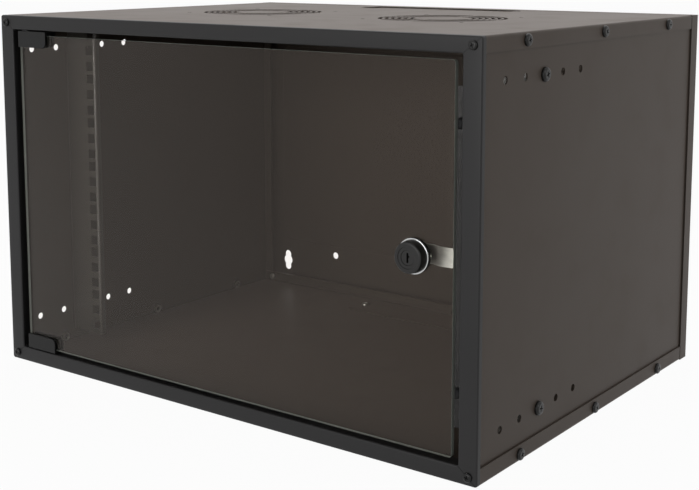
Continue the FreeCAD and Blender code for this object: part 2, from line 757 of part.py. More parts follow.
def cabinet_fasteners():
    """Screws and nuts of the housing, one node for each kind and place."""
    cap_levels = ((0, 1, "bottom"), (D.height, -1, "top"))
    m5 = screw("m5_screw", "m5", D.sheet * 2 + D.fit_gap + D.m5_nut)
    m5_nut = nut("m5_nut", "m5")
    nuts = []
    for outer, inward, name in cap_levels:
        z = outer + D.flange_screw_inset * inward
        sides = [(side, y) for side in (-1, 1) for y in flange_screw_levels()]
        spots = [(D.half_width * side, y, z, (side, 0, 0)) for side, y in sides]
        group(f"{name}_flange_screws", m5, spots)
        nuts += [(D.side_inner * side, y, z, (-side, 0, 0)) for side, y in sides]
    group("flange_nuts", m5_nut, nuts)

    m4_long = screw("m4_frame_screw", "m4", D.frame_return + D.sheet + D.m4_nut)
    m4_short = screw("m4_back_screw", "m4", D.sheet * 2 + D.m4_nut)
    m4_cover = screw("m4_cover_screw", "m4", D.sheet * 2)
    m4_nut = nut("m4_nut", "m4")
    lip = D.face + D.frame_return + D.sheet
    corners = frame_screw_spots()
    group("front_frame_screws", m4_long, [(x, D.face, z, (0, -1, 0)) for x, z in corners])
    group("front_frame_nuts", m4_nut, [(x, lip, z, (0, 1, 0)) for x, z in corners])
    levels = (D.back_screw_inset, D.height - D.back_screw_inset)
    rear = [(x, z) for z in levels for x in back_screw_columns()]
    seat, behind = D.tray - D.sheet, D.tray + D.sheet
    group("back_panel_screws", m4_short, [(x, seat, z, (0, -1, 0)) for x, z in rear])
    group("back_panel_nuts", m4_nut, [(x, behind, z, (0, 1, 0)) for x, z in rear])
    for outer, inward, name in cap_levels:
        z = outer + D.sheet * 2 * inward
        spots = [(x, y, z, (0, 0, inward)) for x, y in cover_screw_spots()]
        group(f"{name}_cover_screws", m4_cover, spots)

    m6 = screw("m6_rail_screw", "m6", D.sheet + D.rail_sheet + D.m6_nut)
    levels = (D.row_inset, D.height - D.row_inset)
    fixings = [(side, z) for side in (-1, 1) for z in levels]
    y = D.rail_screw_y
    group("rail_screws", m6, [(D.side_outer * side, y, z, (side, 0, 0)) for side, z in fixings])
    leg = D.side_inner - D.rail_sheet
    group("rail_nuts", nut("m6_nut", "m6"), [(leg * side, y, z, (-side, 0, 0)) for side, z in fixings])


def door_buffers():
    """Rubber buffers that the pane closes against, on the keeper strip."""
    height = D.keeper_front - D.face - D.rear_of_glass - D.fit_gap
    buffer = part_body("buffer")
    disc = round_peg(0, 0, D.buffer_radius, HEAD_SIDES)
    pad(buffer, "XY", 0, height, disc)
    x = D.keeper_edge + D.buffer_radius + D.fit_gap
    levels = (D.bezel_bottom + D.buffer_inset, D.opening_top - D.buffer_inset)
    group("door_buffers", buffer, [(x, D.keeper_front, z, (0, -1, 0)) for z in levels])


def glass_pane():
    """Pane of the door, with the hole for the lock."""
    pane = body("glass_pane")
    front = D.face + D.glass_setback
    half = D.glass_half
    edge = box(-half, half, D.glass_bottom, D.glass_top)
    hole = Circle(D.lock_x, D.lock_z, D.barrel_radius + D.barrel_clearance)
    pad(pane, "XZ", front, front + D.glass, edge, hole)
    corners = [(x, z) for x in (-half, half) for z in (D.glass_bottom, D.glass_top)]
    round_edges(pane, "Y", D.bend_radius, *corners)


def hinge(name, opening, edge, inward):
    """Pivot hinge at one end of the pane's left edge.

    opening is the level of the frame's opening there, edge that of the pane's edge,
    and inward is 1 where the pane is above the hinge and -1 below.
    """
    left = -D.glass_half + D.fit_gap
    right = left + D.clamp_width
    outer = opening + (D.bush_flange + D.bush_clearance) * inward
    seat = edge - D.clamp_seat * inward
    grip = edge + D.clamp_grip * inward
    front, rear = D.face, D.face + D.clamp_depth
    slot_front = D.face + D.glass_setback - D.pad_thickness
    slot_rear = rear - D.clamp_rear_jaw
    glass_front = D.face + D.glass_setback
    glass_rear = D.face + D.rear_of_glass
    plate_front = glass_rear + D.pad_thickness
    plate_rear = plate_front + D.press_plate

    clamp = body(f"{name}_hinge_clamp")
    pad(clamp, "YZ", left, right, box(front, rear, outer, grip))
    pocket(clamp, "YZ", left, right, box(slot_front, slot_rear, seat, grip))
    pin_hole = Circle(D.pivot_x, D.pivot_y, D.pin_radius + D.running_gap)
    pocket(clamp, "XY", outer, seat, pin_hole)
    middle = (left + right) / 2
    grub_level = (edge + grip) / 2
    grub_columns = [middle + D.grub_spread / 2 * side for side in (-1, 1)]
    pocket(clamp, "XZ", slot_rear, rear, *[fixing(x, grub_level, "m4") for x in grub_columns])
    round_edges(clamp, "Y", D.clamp_corner, (right, grip))

    pads = body(f"{name}_hinge_pads")
    rubber = box(left, right - D.clamp_corner / 2, edge, grip - D.clamp_corner / 2 * inward)
    pad(pads, "XZ", slot_front, glass_front, rubber)
    pad(pads, "XZ", glass_rear, plate_front, rubber)

    plate = body(f"{name}_hinge_plate")
    pad(plate, "XZ", plate_front, plate_rear, rubber)

    grub = part_body(f"{name}_grub")
    pad(grub, "XY", 0, rear - plate_rear, round_peg(0, 0, D.m4_radius, FIXING_SIDES))
    spots = [(x, plate_rear, grub_level, (0, 1, 0)) for x in grub_columns]
    group(f"{name}_hinge_screws", grub, spots)

    pin = body(f"{name}_hinge_pin")
    pin_end = opening - D.bush_length * inward
    pad(pin, "XY", seat, pin_end, Circle(D.pivot_x, D.pivot_y, D.pin_radius))

    bush = body(f"{name}_hinge_bush")
    bore = Circle(0, 0, D.pin_radius + D.running_gap)
    barrel = round_peg(0, 0, D.bush_outer, HEAD_SIDES)
    flange = round_peg(0, 0, D.bush_flange_radius, HEAD_SIDES)
    pad(bush, "XY", 0, D.bush_length, barrel, bore)
    pad(bush, "XY", -D.bush_flange, 0, flange, bore)
    place(bush, D.pivot_x, D.pivot_y, opening, (0, 0, -inward))


def lock():
    """Cam lock in the pane: cap and barrel, ring, gasket and nut, and what the key turns."""
    pane_front = D.face + D.glass_setback
    pane_rear = D.face + D.rear_of_glass
    ring_rear = pane_front - D.pad_thickness
    ring_front = ring_rear - D.lock_ring_thickness
    lock_front = pane_front - D.lock_stand
    barrel_rear = D.face + D.barrel_setback
    hub_front = D.face + D.cam_hub_setback
    around_barrel = round_hole(0, 0, D.barrel_radius + D.running_gap, LOCK_SIDES)
    towards_user = (0, -1, 0)

    housing = body("lock_housing")
    cap, tail = ring_front - lock_front, ring_front - barrel_rear
    pad(housing, "XY", tail, 0, round_peg(0, 0, D.barrel_radius, LOCK_SIDES))
    pad(housing, "XY", 0, cap, round_peg(0, 0, D.lock_cap_radius, LOCK_SIDES))
    pocket(housing, "XY", tail, cap, Circle(0, 0, D.plug_radius + D.running_gap))
    place(housing, D.lock_x, ring_front, D.lock_z, towards_user)

    ring = body("lock_ring")
    ring_outline = round_peg(0, 0, D.lock_ring_radius, LOCK_SIDES)
    pad(ring, "XY", 0, D.lock_ring_thickness, ring_outline, around_barrel)
    place(ring, D.lock_x, ring_rear, D.lock_z, towards_user)

    washer = part_body("lock_washer")
    washer_outline = round_peg(0, 0, D.lock_ring_radius - D.pad_thickness, LOCK_SIDES)
    pad(washer, "XY", 0, D.pad_thickness, washer_outline, around_barrel)
    levels = (pane_front, pane_rear + D.pad_thickness)
    group("lock_gaskets", washer, [(D.lock_x, y, D.lock_z, towards_user) for y in levels])

    lock_nut = body("lock_nut")
    pad(lock_nut, "XY", 0, D.lock_nut, hexagon(D.lock_nut_flats), around_barrel)
    place(lock_nut, D.lock_x, pane_rear + D.pad_thickness, D.lock_z, (0, 1, 0))

    plug = body("lock_plug")
    length = hub_front - lock_front
    pad(plug, "XY", 0, length, Circle(0, 0, D.plug_radius))
    half_length, half_slot = D.key_slot_length / 2, D.key_slot_width / 2
    key_slot = box(-half_slot, half_slot, -half_length, half_length)
    pocket(plug, "XY", length - D.key_slot_depth, length, key_slot)
    pocket(plug, "XY", 0, D.m4_nut * 2, fixing(0, 0, "m4"))
    place(plug, D.lock_x, hub_front, D.lock_z, towards_user)

    cam = body("lock_cam")
    start, end = D.lock_x + D.cam_step_start, D.lock_x + D.cam_step_end
    hub = D.lock_x - D.cam_width / 2
    tip = D.keeper_edge - D.cam_tip_gap
    tip_front = D.face + D.cam_tip_setback
    hub_rear, tip_rear = hub_front + D.cam, tip_front + D.cam
    strip = [(hub, hub_front), (start, hub_front), (end, tip_front), (tip, tip_front)]
    strip += [(tip, tip_rear), (end, tip_rear), (start, hub_rear), (hub, hub_rear)]
    low, high = D.lock_z - D.cam_width / 2, D.lock_z + D.cam_width / 2
    pad(cam, "XY", low, high, Outline(*strip))
    pocket(cam, "XZ", hub_front, hub_rear, fixing(D.lock_x, D.lock_z, "m4"))
    bevel_edges(cam, "Y", D.cam_width / 4, (hub, low), (hub, high))
    bevel_edges(cam, "Y", D.cam, (tip, low), (tip, high))

    cam_screw = screw("m4_cam_screw", "m4", D.cam + D.m4_nut * 2 - D.fit_gap)
    group("cam_screw", cam_screw, [(D.lock_x, hub_rear, D.lock_z, (0, 1, 0))])


def build_all():
    """Build every piece of the cabinet."""
    front_frame()
    top_panel = cap_panel("top_panel", D.height, -1, D.top_flange)
    fan_vents(top_panel)
    cap_panel("bottom_panel", Size.of(0), 1, D.bottom_flange)
    entry_cover("top_cable_cover", D.height, -1)
    entry_cover("bottom_cable_cover", Size.of(0), 1)
    for name, side in (("left", -1), ("right", 1)):
        side_panel(f"{name}_side_panel", side)
        rack_rail(f"{name}_rail", side)
    back_panel()
    cabinet_fasteners()
    door_buffers()
    glass_pane()
    hinge("upper", D.opening_top, D.glass_top, -1)
    hinge("lower", D.bezel_bottom, D.glass_bottom, 1)
    lock()


def check_and_write():
    """Stop if any object failed, then write one STEP file for each node."""
    DOC.recompute()
    for item in DOC.Objects:
        if "Invalid" in item.State or "Error" in item.State:
            raise ValueError(f"{item.Label} failed: {item.State}")
    for node in NODES:
        if node.Shape.isNull() or not node.Shape.isValid():
            raise ValueError(f"{node.Label} has no valid shape")
    os.makedirs("parts", exist_ok=True)
    for node in NODES:
        node.Shape.exportStep(os.path.join("parts", f"{node.Label}.step"))
    print(f"wrote {len(NODES)} nodes")


fill_sheet()
build_all()
check_and_write()
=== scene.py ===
"""Looks of a wall-mount network cabinet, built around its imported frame.

The frame holds every piece at its real place, in metres: +Z is up, the glass door faces -Y
and +X is to the right of someone who faces the door.  The folded sheets, the lock, the hinges'
turned parts, the pane and the fasteners are modelled here in full detail and stand for the
plain packed ones.  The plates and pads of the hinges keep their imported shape.
"""

import json
import logging
import math
from collections.abc import Callable, Iterator, Sequence
from contextlib import contextmanager
from dataclasses import dataclass
from enum import Enum, IntEnum
from typing import Any

import bmesh
import bpy
from mathutils import Matrix, Vector

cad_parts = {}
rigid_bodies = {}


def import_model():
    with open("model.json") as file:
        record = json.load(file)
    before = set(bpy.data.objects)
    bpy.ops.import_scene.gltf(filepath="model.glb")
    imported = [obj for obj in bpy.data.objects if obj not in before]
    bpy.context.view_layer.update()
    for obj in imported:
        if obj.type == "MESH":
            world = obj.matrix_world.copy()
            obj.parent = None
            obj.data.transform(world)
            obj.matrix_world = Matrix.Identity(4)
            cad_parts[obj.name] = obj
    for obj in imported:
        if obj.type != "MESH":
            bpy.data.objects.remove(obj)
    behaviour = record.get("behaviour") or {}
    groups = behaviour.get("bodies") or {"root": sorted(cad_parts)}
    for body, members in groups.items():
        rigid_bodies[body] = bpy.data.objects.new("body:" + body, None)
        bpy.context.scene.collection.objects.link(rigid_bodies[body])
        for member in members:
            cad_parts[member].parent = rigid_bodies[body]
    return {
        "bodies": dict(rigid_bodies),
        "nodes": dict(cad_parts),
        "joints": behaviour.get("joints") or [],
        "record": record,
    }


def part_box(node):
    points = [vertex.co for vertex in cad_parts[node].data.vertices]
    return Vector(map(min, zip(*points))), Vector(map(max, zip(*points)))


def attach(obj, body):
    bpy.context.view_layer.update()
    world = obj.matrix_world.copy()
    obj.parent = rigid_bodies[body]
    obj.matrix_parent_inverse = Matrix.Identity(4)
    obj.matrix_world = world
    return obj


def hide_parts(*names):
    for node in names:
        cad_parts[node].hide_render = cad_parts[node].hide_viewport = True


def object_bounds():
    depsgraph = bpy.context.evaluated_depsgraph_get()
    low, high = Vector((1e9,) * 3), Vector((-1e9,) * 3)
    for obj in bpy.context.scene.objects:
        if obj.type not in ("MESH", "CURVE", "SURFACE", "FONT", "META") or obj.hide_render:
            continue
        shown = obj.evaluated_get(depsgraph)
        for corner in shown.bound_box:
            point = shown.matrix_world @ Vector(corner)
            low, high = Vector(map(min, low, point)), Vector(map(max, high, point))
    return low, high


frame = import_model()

CAD_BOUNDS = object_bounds()
MIDDLE_HEIGHT = (CAD_BOUNDS[0][2] + CAD_BOUNDS[1][2]) / 2
MM = 0.001
PAST = 1 * MM  # how far a tool reaches past what it cuts
WELD = 0.002 * MM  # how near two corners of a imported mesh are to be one
BODY_OF = {node: body for body, nodes in frame["record"]["behaviour"]["bodies"].items() for node in nodes}
SLOT_OF = {part["node"]: part["material_slot"] for part in frame["record"]["subparts"]}

log = logging.getLogger("cabinet")

Colour = tuple[float, float, float]
Point = tuple[float, float, float]
Span = tuple[float, float]
Place = tuple[float, float]
Box = tuple[Vector, Vector]
Direction = Callable[[Vector], Point]
EdgeTest = Callable[[Vector, Vector], bool]


# --------------------------------------------------------------------------- finishes


class Signal:
    """A number that varies over a surface; arithmetic on it adds Math nodes."""

    def __init__(self, paint: "Paint", socket: bpy.types.NodeSocket) -> None:
        """Wrap one output socket.

        Args:
            paint: the material that the socket belongs to.
            socket: the output that carries the number.
        """
        self.paint = paint
        self.socket = socket

    def _math(self, operation: str, *terms: "Signal | float") -> "Signal":
        """Return the result of one Math node on the terms."""
        node = self.paint.node("ShaderNodeMath", {"operation": operation}, dict(enumerate(terms)))
        return Signal(self.paint, node.outputs[0])

    def __add__(self, other: "Signal | float") -> "Signal":
        """Return the sum."""
        return self._math("ADD", self, other)

    __radd__ = __add__

    def __sub__(self, other: "Signal | float") -> "Signal":
        """Return the difference."""
        return self._math("SUBTRACT", self, other)

    def __rsub__(self, other: float) -> "Signal":
        """Return a number less this one."""
        return self._math("SUBTRACT", other, self)

    def __mul__(self, other: "Signal | float") -> "Signal":
        """Return the product."""
        return self._math("MULTIPLY", self, other)

    __rmul__ = __mul__

    def larger(self, other: "Signal | float") -> "Signal":
        """Return the larger of two numbers."""
        return self._math("MAXIMUM", self, other)

    def step(self, start: float, end: float) -> "Signal":
        """Return a soft step from 0 at start to 1 at end.

        Args:
            start: the number at which the step leaves 0.
            end: the number at which it reaches 1.

        Returns:
            The stepped signal.
        """
        settings = {"interpolation_type": "SMOOTHSTEP"}
        values = {"Value": self, "From Min": start, "From Max": end}
        return Signal(self.paint, self.paint.node("ShaderNodeMapRange", settings, values).outputs[0])


class Paint:
    """A material while it is put together."""

    def __init__(self, name: str) -> None:
        """Start an empty material.

        Args:
            name: the material's name.
        """
        self.material = bpy.data.materials.new(name)
        self.material.use_nodes = True
        self.tree = self.material.node_tree
        self.tree.nodes.clear()
        self.place = self.node("ShaderNodeTexCoord", {}, {}).outputs["Object"]

    @classmethod
    def of_tree(cls, tree: bpy.types.NodeTree) -> "Paint":
        """Work in a node tree that isn't a material's.

        Args:
            tree: the tree, which is emptied first.

        Returns:
            The paint that works in it.
        """
        paint = cls.__new__(cls)
        paint.tree = tree
        tree.nodes.clear()
        return paint

    def node(self, kind: str, settings: dict[str, Any], values: dict[str | int, Any]) -> bpy.types.Node:
        """Add one node.

        Args:
            kind: the node's type.
            settings: its properties, set before its sockets.
            values: what each input gets, a number, a colour, a Signal or another socket.

        Returns:
            The new node.
        """
        made = self.tree.nodes.new(kind)
        for name, value in settings.items():
            setattr(made, name, value)
        for key, value in values.items():
            socket = made.inputs[key]
            if isinstance(value, Signal):
                value = value.socket
            if isinstance(value, bpy.types.NodeSocket):
                self.tree.links.new(value, socket)
            else:
                socket.default_value = value
        return made

    def noise(self, size: float, detail: float = 3.0, stretch: Point = (1.0, 1.0, 1.0)) -> Signal:
        """Return a noise pattern between 0 and 1.

        Args:
            size: the size of its features, in metres.
            detail: how many finer layers it has.
            stretch: how much denser it is along each axis.

        Returns:
            The pattern as a signal.
        """
        where = self.node("ShaderNodeMapping", {}, {"Vector": self.place, "Scale": stretch}).outputs[0]
        values = {"Vector": where, "Scale": 1.0 / size, "Detail": detail, "Roughness": 0.55}
        return Signal(self, self.node("ShaderNodeTexNoise", {}, values).outputs[0])

    def shades(self, mask: Signal, colour: Colour, first: float, second: float) -> bpy.types.NodeSocket:
        """Return a colour that goes from one shade of itself to another by a mask.

        Args:
            mask: 0 for the first shade, 1 for the second.
            colour: the plain colour.
            first: the first shade's factor, below 1 to darken and above 1 to lighten.
            second: the second shade's factor.

        Returns:
            The mixed colour's socket.
        """
        low, high = [[part * factor for part in colour] for factor in (first, second)]
        values = {0: mask, 6: (*low, 1.0), 7: (*high, 1.0)}
        return self.node("ShaderNodeMix", {"data_type": "RGBA"}, values).outputs[2]

    def relief(self, height: Signal, depth: float, strength: float = 1.0) -> bpy.types.NodeSocket:
        """Return a normal that carries a fine relief.

        Args:
            height: the relief between 0 and 1.
            depth: its full height, in metres.
            strength: how much of it shows.

        Returns:
            The normal's socket.
        """
        values = {"Height": height, "Distance": depth, "Strength": strength}
        return self.node("ShaderNodeBump", {}, values).outputs[0]

    def mix(self, mask: Signal, first: bpy.types.Node, second: bpy.types.Node) -> bpy.types.Node:
        """Return the shader between two by a mask."""
        values = {0: mask, 1: first.outputs[0], 2: second.outputs[0]}
        return self.node("ShaderNodeMixShader", {}, values)

    def surface(self, values: dict[str | int, Any]) -> bpy.types.Material:
        """Finish the material with one Principled shader.

        Args:
            values: the shader's inputs.

        Returns:
            The finished material.
        """
        return self.finish(self.node("ShaderNodeBsdfPrincipled", {}, values))

    def finish(self, shader: bpy.types.Node) -> bpy.types.Material:
        """Connect a shader to the material's output and return the material."""
        self.node("ShaderNodeOutputMaterial", {}, {"Surface": shader.outputs[0]})
        return self.material


@dataclass(frozen=True)
class PowderCoat:
    """Fine-textured powder coat on sheet steel."""

    name: str
    colour: Colour
    roughness: float = 0.42
    specular: float = 0.5
    tint: Colour = (1.0, 1.0, 1.0)
    dust: float = 0.0
    dust_tint: Colour = (1.0, 0.78, 0.66)
    pebble: float = 0.9 * MM
    relief: float = 0.006 * MM

    def material(self) -> bpy.types.Material:
        """Put the finish together.

        Returns:
            The finished material.
        """
        paint = Paint(self.name)
        cloud = paint.noise(160 * MM, 2.0)
        handled = paint.noise(38 * MM, 4.0).step(0.45, 0.75)
        pebbles = paint.noise(self.pebble, 2.0)
        sand = paint.noise(self.pebble / 4, 1.0)
        tone = cloud * 0.55 + pebbles * 0.3 + sand * 0.15
        roughness = self.roughness + (cloud - 0.5) * 0.08 + handled * 0.04 + (pebbles - 0.5) * 0.03
        return paint.surface(
            {
                "Base Color": paint.shades(tone.step(0.2, 0.8), self.colour, 0.96, 1.04),
                "Roughness": roughness,
                "Specular IOR Level": self.specular,
                "Specular Tint": (*self.tint, 1.0),
                "Sheen Weight": self.dust,
                "Sheen Roughness": 0.5,
                "Sheen Tint": (*self.dust_tint, 1.0),
                "Normal": paint.relief(pebbles * 0.7 + sand * 0.3, self.relief, 0.6),
            }
        )


@dataclass(frozen=True)
class PlatedSteel:
    """Zinc-plated or blackened steel, with the marks of tools and handling."""

    name: str
    colour: Colour
    roughness: float = 0.32
    streak: Point = (1.0, 1.0, 1.0)
    metallic: float = 1.0

    def material(self) -> bpy.types.Material:
        """Put the finish together.

        Returns:
            The finished material.
        """
        paint = Paint(self.name)
        spangle = paint.noise(1.6 * MM, 3.0, self.streak)
        stain = paint.noise(9 * MM, 3.0)
        fine = paint.noise(0.25 * MM, 2.0, self.streak)
        tone = (spangle * 0.6 + stain * 0.4).step(0.25, 0.75)
        return paint.surface(
            {
                "Base Color": paint.shades(tone, self.colour, 0.8, 1.1),
                "Metallic": self.metallic,
                "Roughness": self.roughness + (spangle - 0.5) * 0.2 + (stain - 0.5) * 0.12,
                "Normal": paint.relief(fine, 0.012 * MM, 0.5),
            }
        )


@dataclass(frozen=True)
class Polish:
    """Polished chrome, with a breath of fine scratches."""

    name: str
    colour: Colour

    def material(self) -> bpy.types.Material:
        """Put the finish together.

        Returns:
            The finished material.
        """
        paint = Paint(self.name)
        scratch = paint.noise(0.5 * MM, 4.0, (1.0, 1.0, 7.0))
        haze = paint.noise(4 * MM, 2.0)
        return paint.surface(
            {
                "Base Color": paint.shades(haze, self.colour, 0.95, 1.0),
                "Metallic": 1.0,
                "Roughness": 0.07 + haze * 0.06 + scratch.step(0.62, 0.8) * 0.1,
                "Normal": paint.relief(scratch, 0.004 * MM, 0.3),
            }
        )


@dataclass(frozen=True)
class Moulding:
    """Rubber, nylon or lacquered die-cast metal: one tone with a fine grain."""

    name: str
    colour: Colour
    roughness: float
    grain: float = 0.5 * MM
    relief: float = 0.01 * MM
    coat: float = 0.0
    specular: float = 0.3

    def material(self) -> bpy.types.Material:
        """Put the finish together.

        Returns:
            The finished material.
        """
        paint = Paint(self.name)
        grain = paint.noise(self.grain, 3.0)
        worn = paint.noise(7 * MM, 3.0).step(0.4, 0.8)
        return paint.surface(
            {
                "Base Color": paint.shades(worn * 0.6 + grain * 0.4, self.colour, 0.85, 1.25),
                "Roughness": self.roughness + worn * 0.08 + (grain - 0.5) * 0.06,
                "Specular IOR Level": self.specular,
                "Coat Weight": self.coat,
                "Coat Roughness": 0.12,
                "Normal": paint.relief(grain, self.relief, 0.5),
            }
        )


@dataclass(frozen=True)
class TintedGlass:
    """Toughened glass that lets the lamps through to what is behind it."""

    name: str
    tint: Colour = (0.97, 0.94, 0.915)
    through: Colour = (0.93, 0.935, 0.925)
    veil: Colour = (1.0, 0.86, 0.75)
    ior: float = 1.27

    def material(self) -> bpy.types.Material:
        """Put the finish together.

        Returns:
            The finished material.
        """
        paint = Paint(self.name)
        smear = paint.noise(60 * MM, 3.0).step(0.5, 0.8)
        glass = paint.node(
            "ShaderNodeBsdfPrincipled",
            {},
            {
                "Base Color": paint.shades(smear, self.tint, 1.0, 0.985),
                "Specular Tint": (*self.veil, 1.0),
                "Transmission Weight": 1.0,
                "IOR": self.ior,
                "Roughness": 0.0,
            },
        )
        clear = paint.node("ShaderNodeBsdfTransparent", {}, {"Color": (*self.through, 1.0)})
        ray = paint.node("ShaderNodeLightPath", {}, {})
        shadow, diffuse = (Signal(paint, ray.outputs[name]) for name in ("Is Shadow Ray", "Is Diffuse Ray"))
        return paint.finish(paint.mix(shadow.larger(diffuse), glass, clear))


@dataclass(frozen=True)
class GroundEdge:
    """The ground edge of a pane, frosted and greener than its face."""

    name: str
    colour: Colour

    def material(self) -> bpy.types.Material:
        """Put the finish together.

        Returns:
            The finished material.
        """
        paint = Paint(self.name)
        grind = paint.noise(0.6 * MM, 3.0, (1.0, 3.0, 1.0))
        cloud = paint.noise(45 * MM, 2.0)
        tone = grind * 0.5 + cloud * 0.5
        return paint.surface(
            {
                "Base Color": paint.shades(tone, self.colour, 0.8, 1.2),
                "Roughness": 0.3 + grind * 0.2,
                "Normal": paint.relief(grind, 0.01 * MM, 0.4),
            }
        )


class Finish(Enum):
    """Every finish of the cabinet, under the name of the record's material slot."""

    frame_paint = PowderCoat("frame_powder_coat", (0.0145, 0.014, 0.0145), roughness=0.4, specular=0.26)
    panel_paint = PowderCoat(
        "panel_powder_coat",
        (0.050, 0.040, 0.033),
        specular=0.14,
        tint=(1.0, 0.9, 0.82),
        dust=0.14,
        relief=0.0015 * MM,
    )
    rail_paint = PowderCoat("rail_powder_coat", (0.052, 0.047, 0.041), roughness=0.34)
    glass = TintedGlass("toughened_glass")
    glass_edge = GroundEdge("ground_glass_edge", (0.36, 0.39, 0.35))
    rubber = Moulding("black_rubber", (0.016, 0.016, 0.017), 0.75, relief=0.02 * MM)
    nylon = Moulding("black_nylon", (0.024, 0.024, 0.025), 0.5)
    hinge_black = Moulding("hinge_lacquer", (0.008, 0.008, 0.008), 0.4, specular=0.2)
    lock_black = Moulding("lock_lacquer", (0.010, 0.0095, 0.009), 0.3, relief=0.006 * MM, coat=0.05)
    chrome = Polish("lock_chrome", (0.50, 0.51, 0.51))
    cam_steel = PlatedSteel("cam_zinc", (0.44, 0.45, 0.42), roughness=0.36, streak=(0.15, 1.0, 1.0))
    zinc_steel = PlatedSteel("zinc_plate", (0.5, 0.5, 0.47))
    black_screw = PlatedSteel("blackened_steel", (0.012, 0.0118, 0.0115), roughness=0.3, metallic=0.6)


class Wardrobe:
    """Makes each finish once and puts it on the pieces."""

    def __init__(self) -> None:
        """Start with nothing made."""
        self.made: dict[str, bpy.types.Material] = {}

    def material(self, finish: Finish) -> bpy.types.Material:
        """Look up a finish's material, made at its first use.

        Args:
            finish: the finish.

        Returns:
            Its material.
        """
        if finish.name not in self.made:
            self.made[finish.name] = finish.value.material()
        return self.made[finish.name]

    def dress(self, thing: bpy.types.Object, finish: Finish) -> None:
        """Give an object one finish all over.

        Args:
            thing: the object.
            finish: its finish.
        """
        thing.data.materials.clear()
        thing.data.materials.append(self.material(finish))


WARDROBE = Wardrobe()


# --------------------------------------------------------------------------- modelling


class Axis(IntEnum):
    """The frame's axes, as the places of their coordinates."""

    X = 0
    Y = 1
    Z = 2


def level(value: float, slack: float = 0.01 * MM) -> Callable[[float], bool]:
    """Return a test for a coordinate that lies at a value."""
    return lambda number: abs(number - value) < slack


def around(axis: int, place: float) -> EdgeTest:
    """Return a test for the edges that lie across an axis, at a place on it."""
    at = level(place)
    return lambda a, b: at(a[axis]) and at(b[axis])


def along(axis: int) -> EdgeTest:
    """Return a test for the edges that run along an axis."""
    others = [other for other in Axis if other != axis]
    return lambda a, b: all(level(a[other])(b[other]) for other in others)


def is_rim(a: Vector, b: Vector) -> bool:
    """Tell whether an edge is level, as the rims of an upright bar are."""
    return level(a.z)(b.z)


def rest_tools() -> None:
    """Leave edit mode, with nothing selected."""
    if bpy.context.mode != "OBJECT":
        bpy.ops.object.mode_set(mode="OBJECT")
    bpy.ops.object.select_all(action="DESELECT")


def take(*things: bpy.types.Object) -> None:
    """Select objects.

    Args:
        things: the objects, the first of which becomes the active one.
    """
    rest_tools()
    for thing in things:
        thing.select_set(True)
    bpy.context.view_layer.objects.active = things[0]


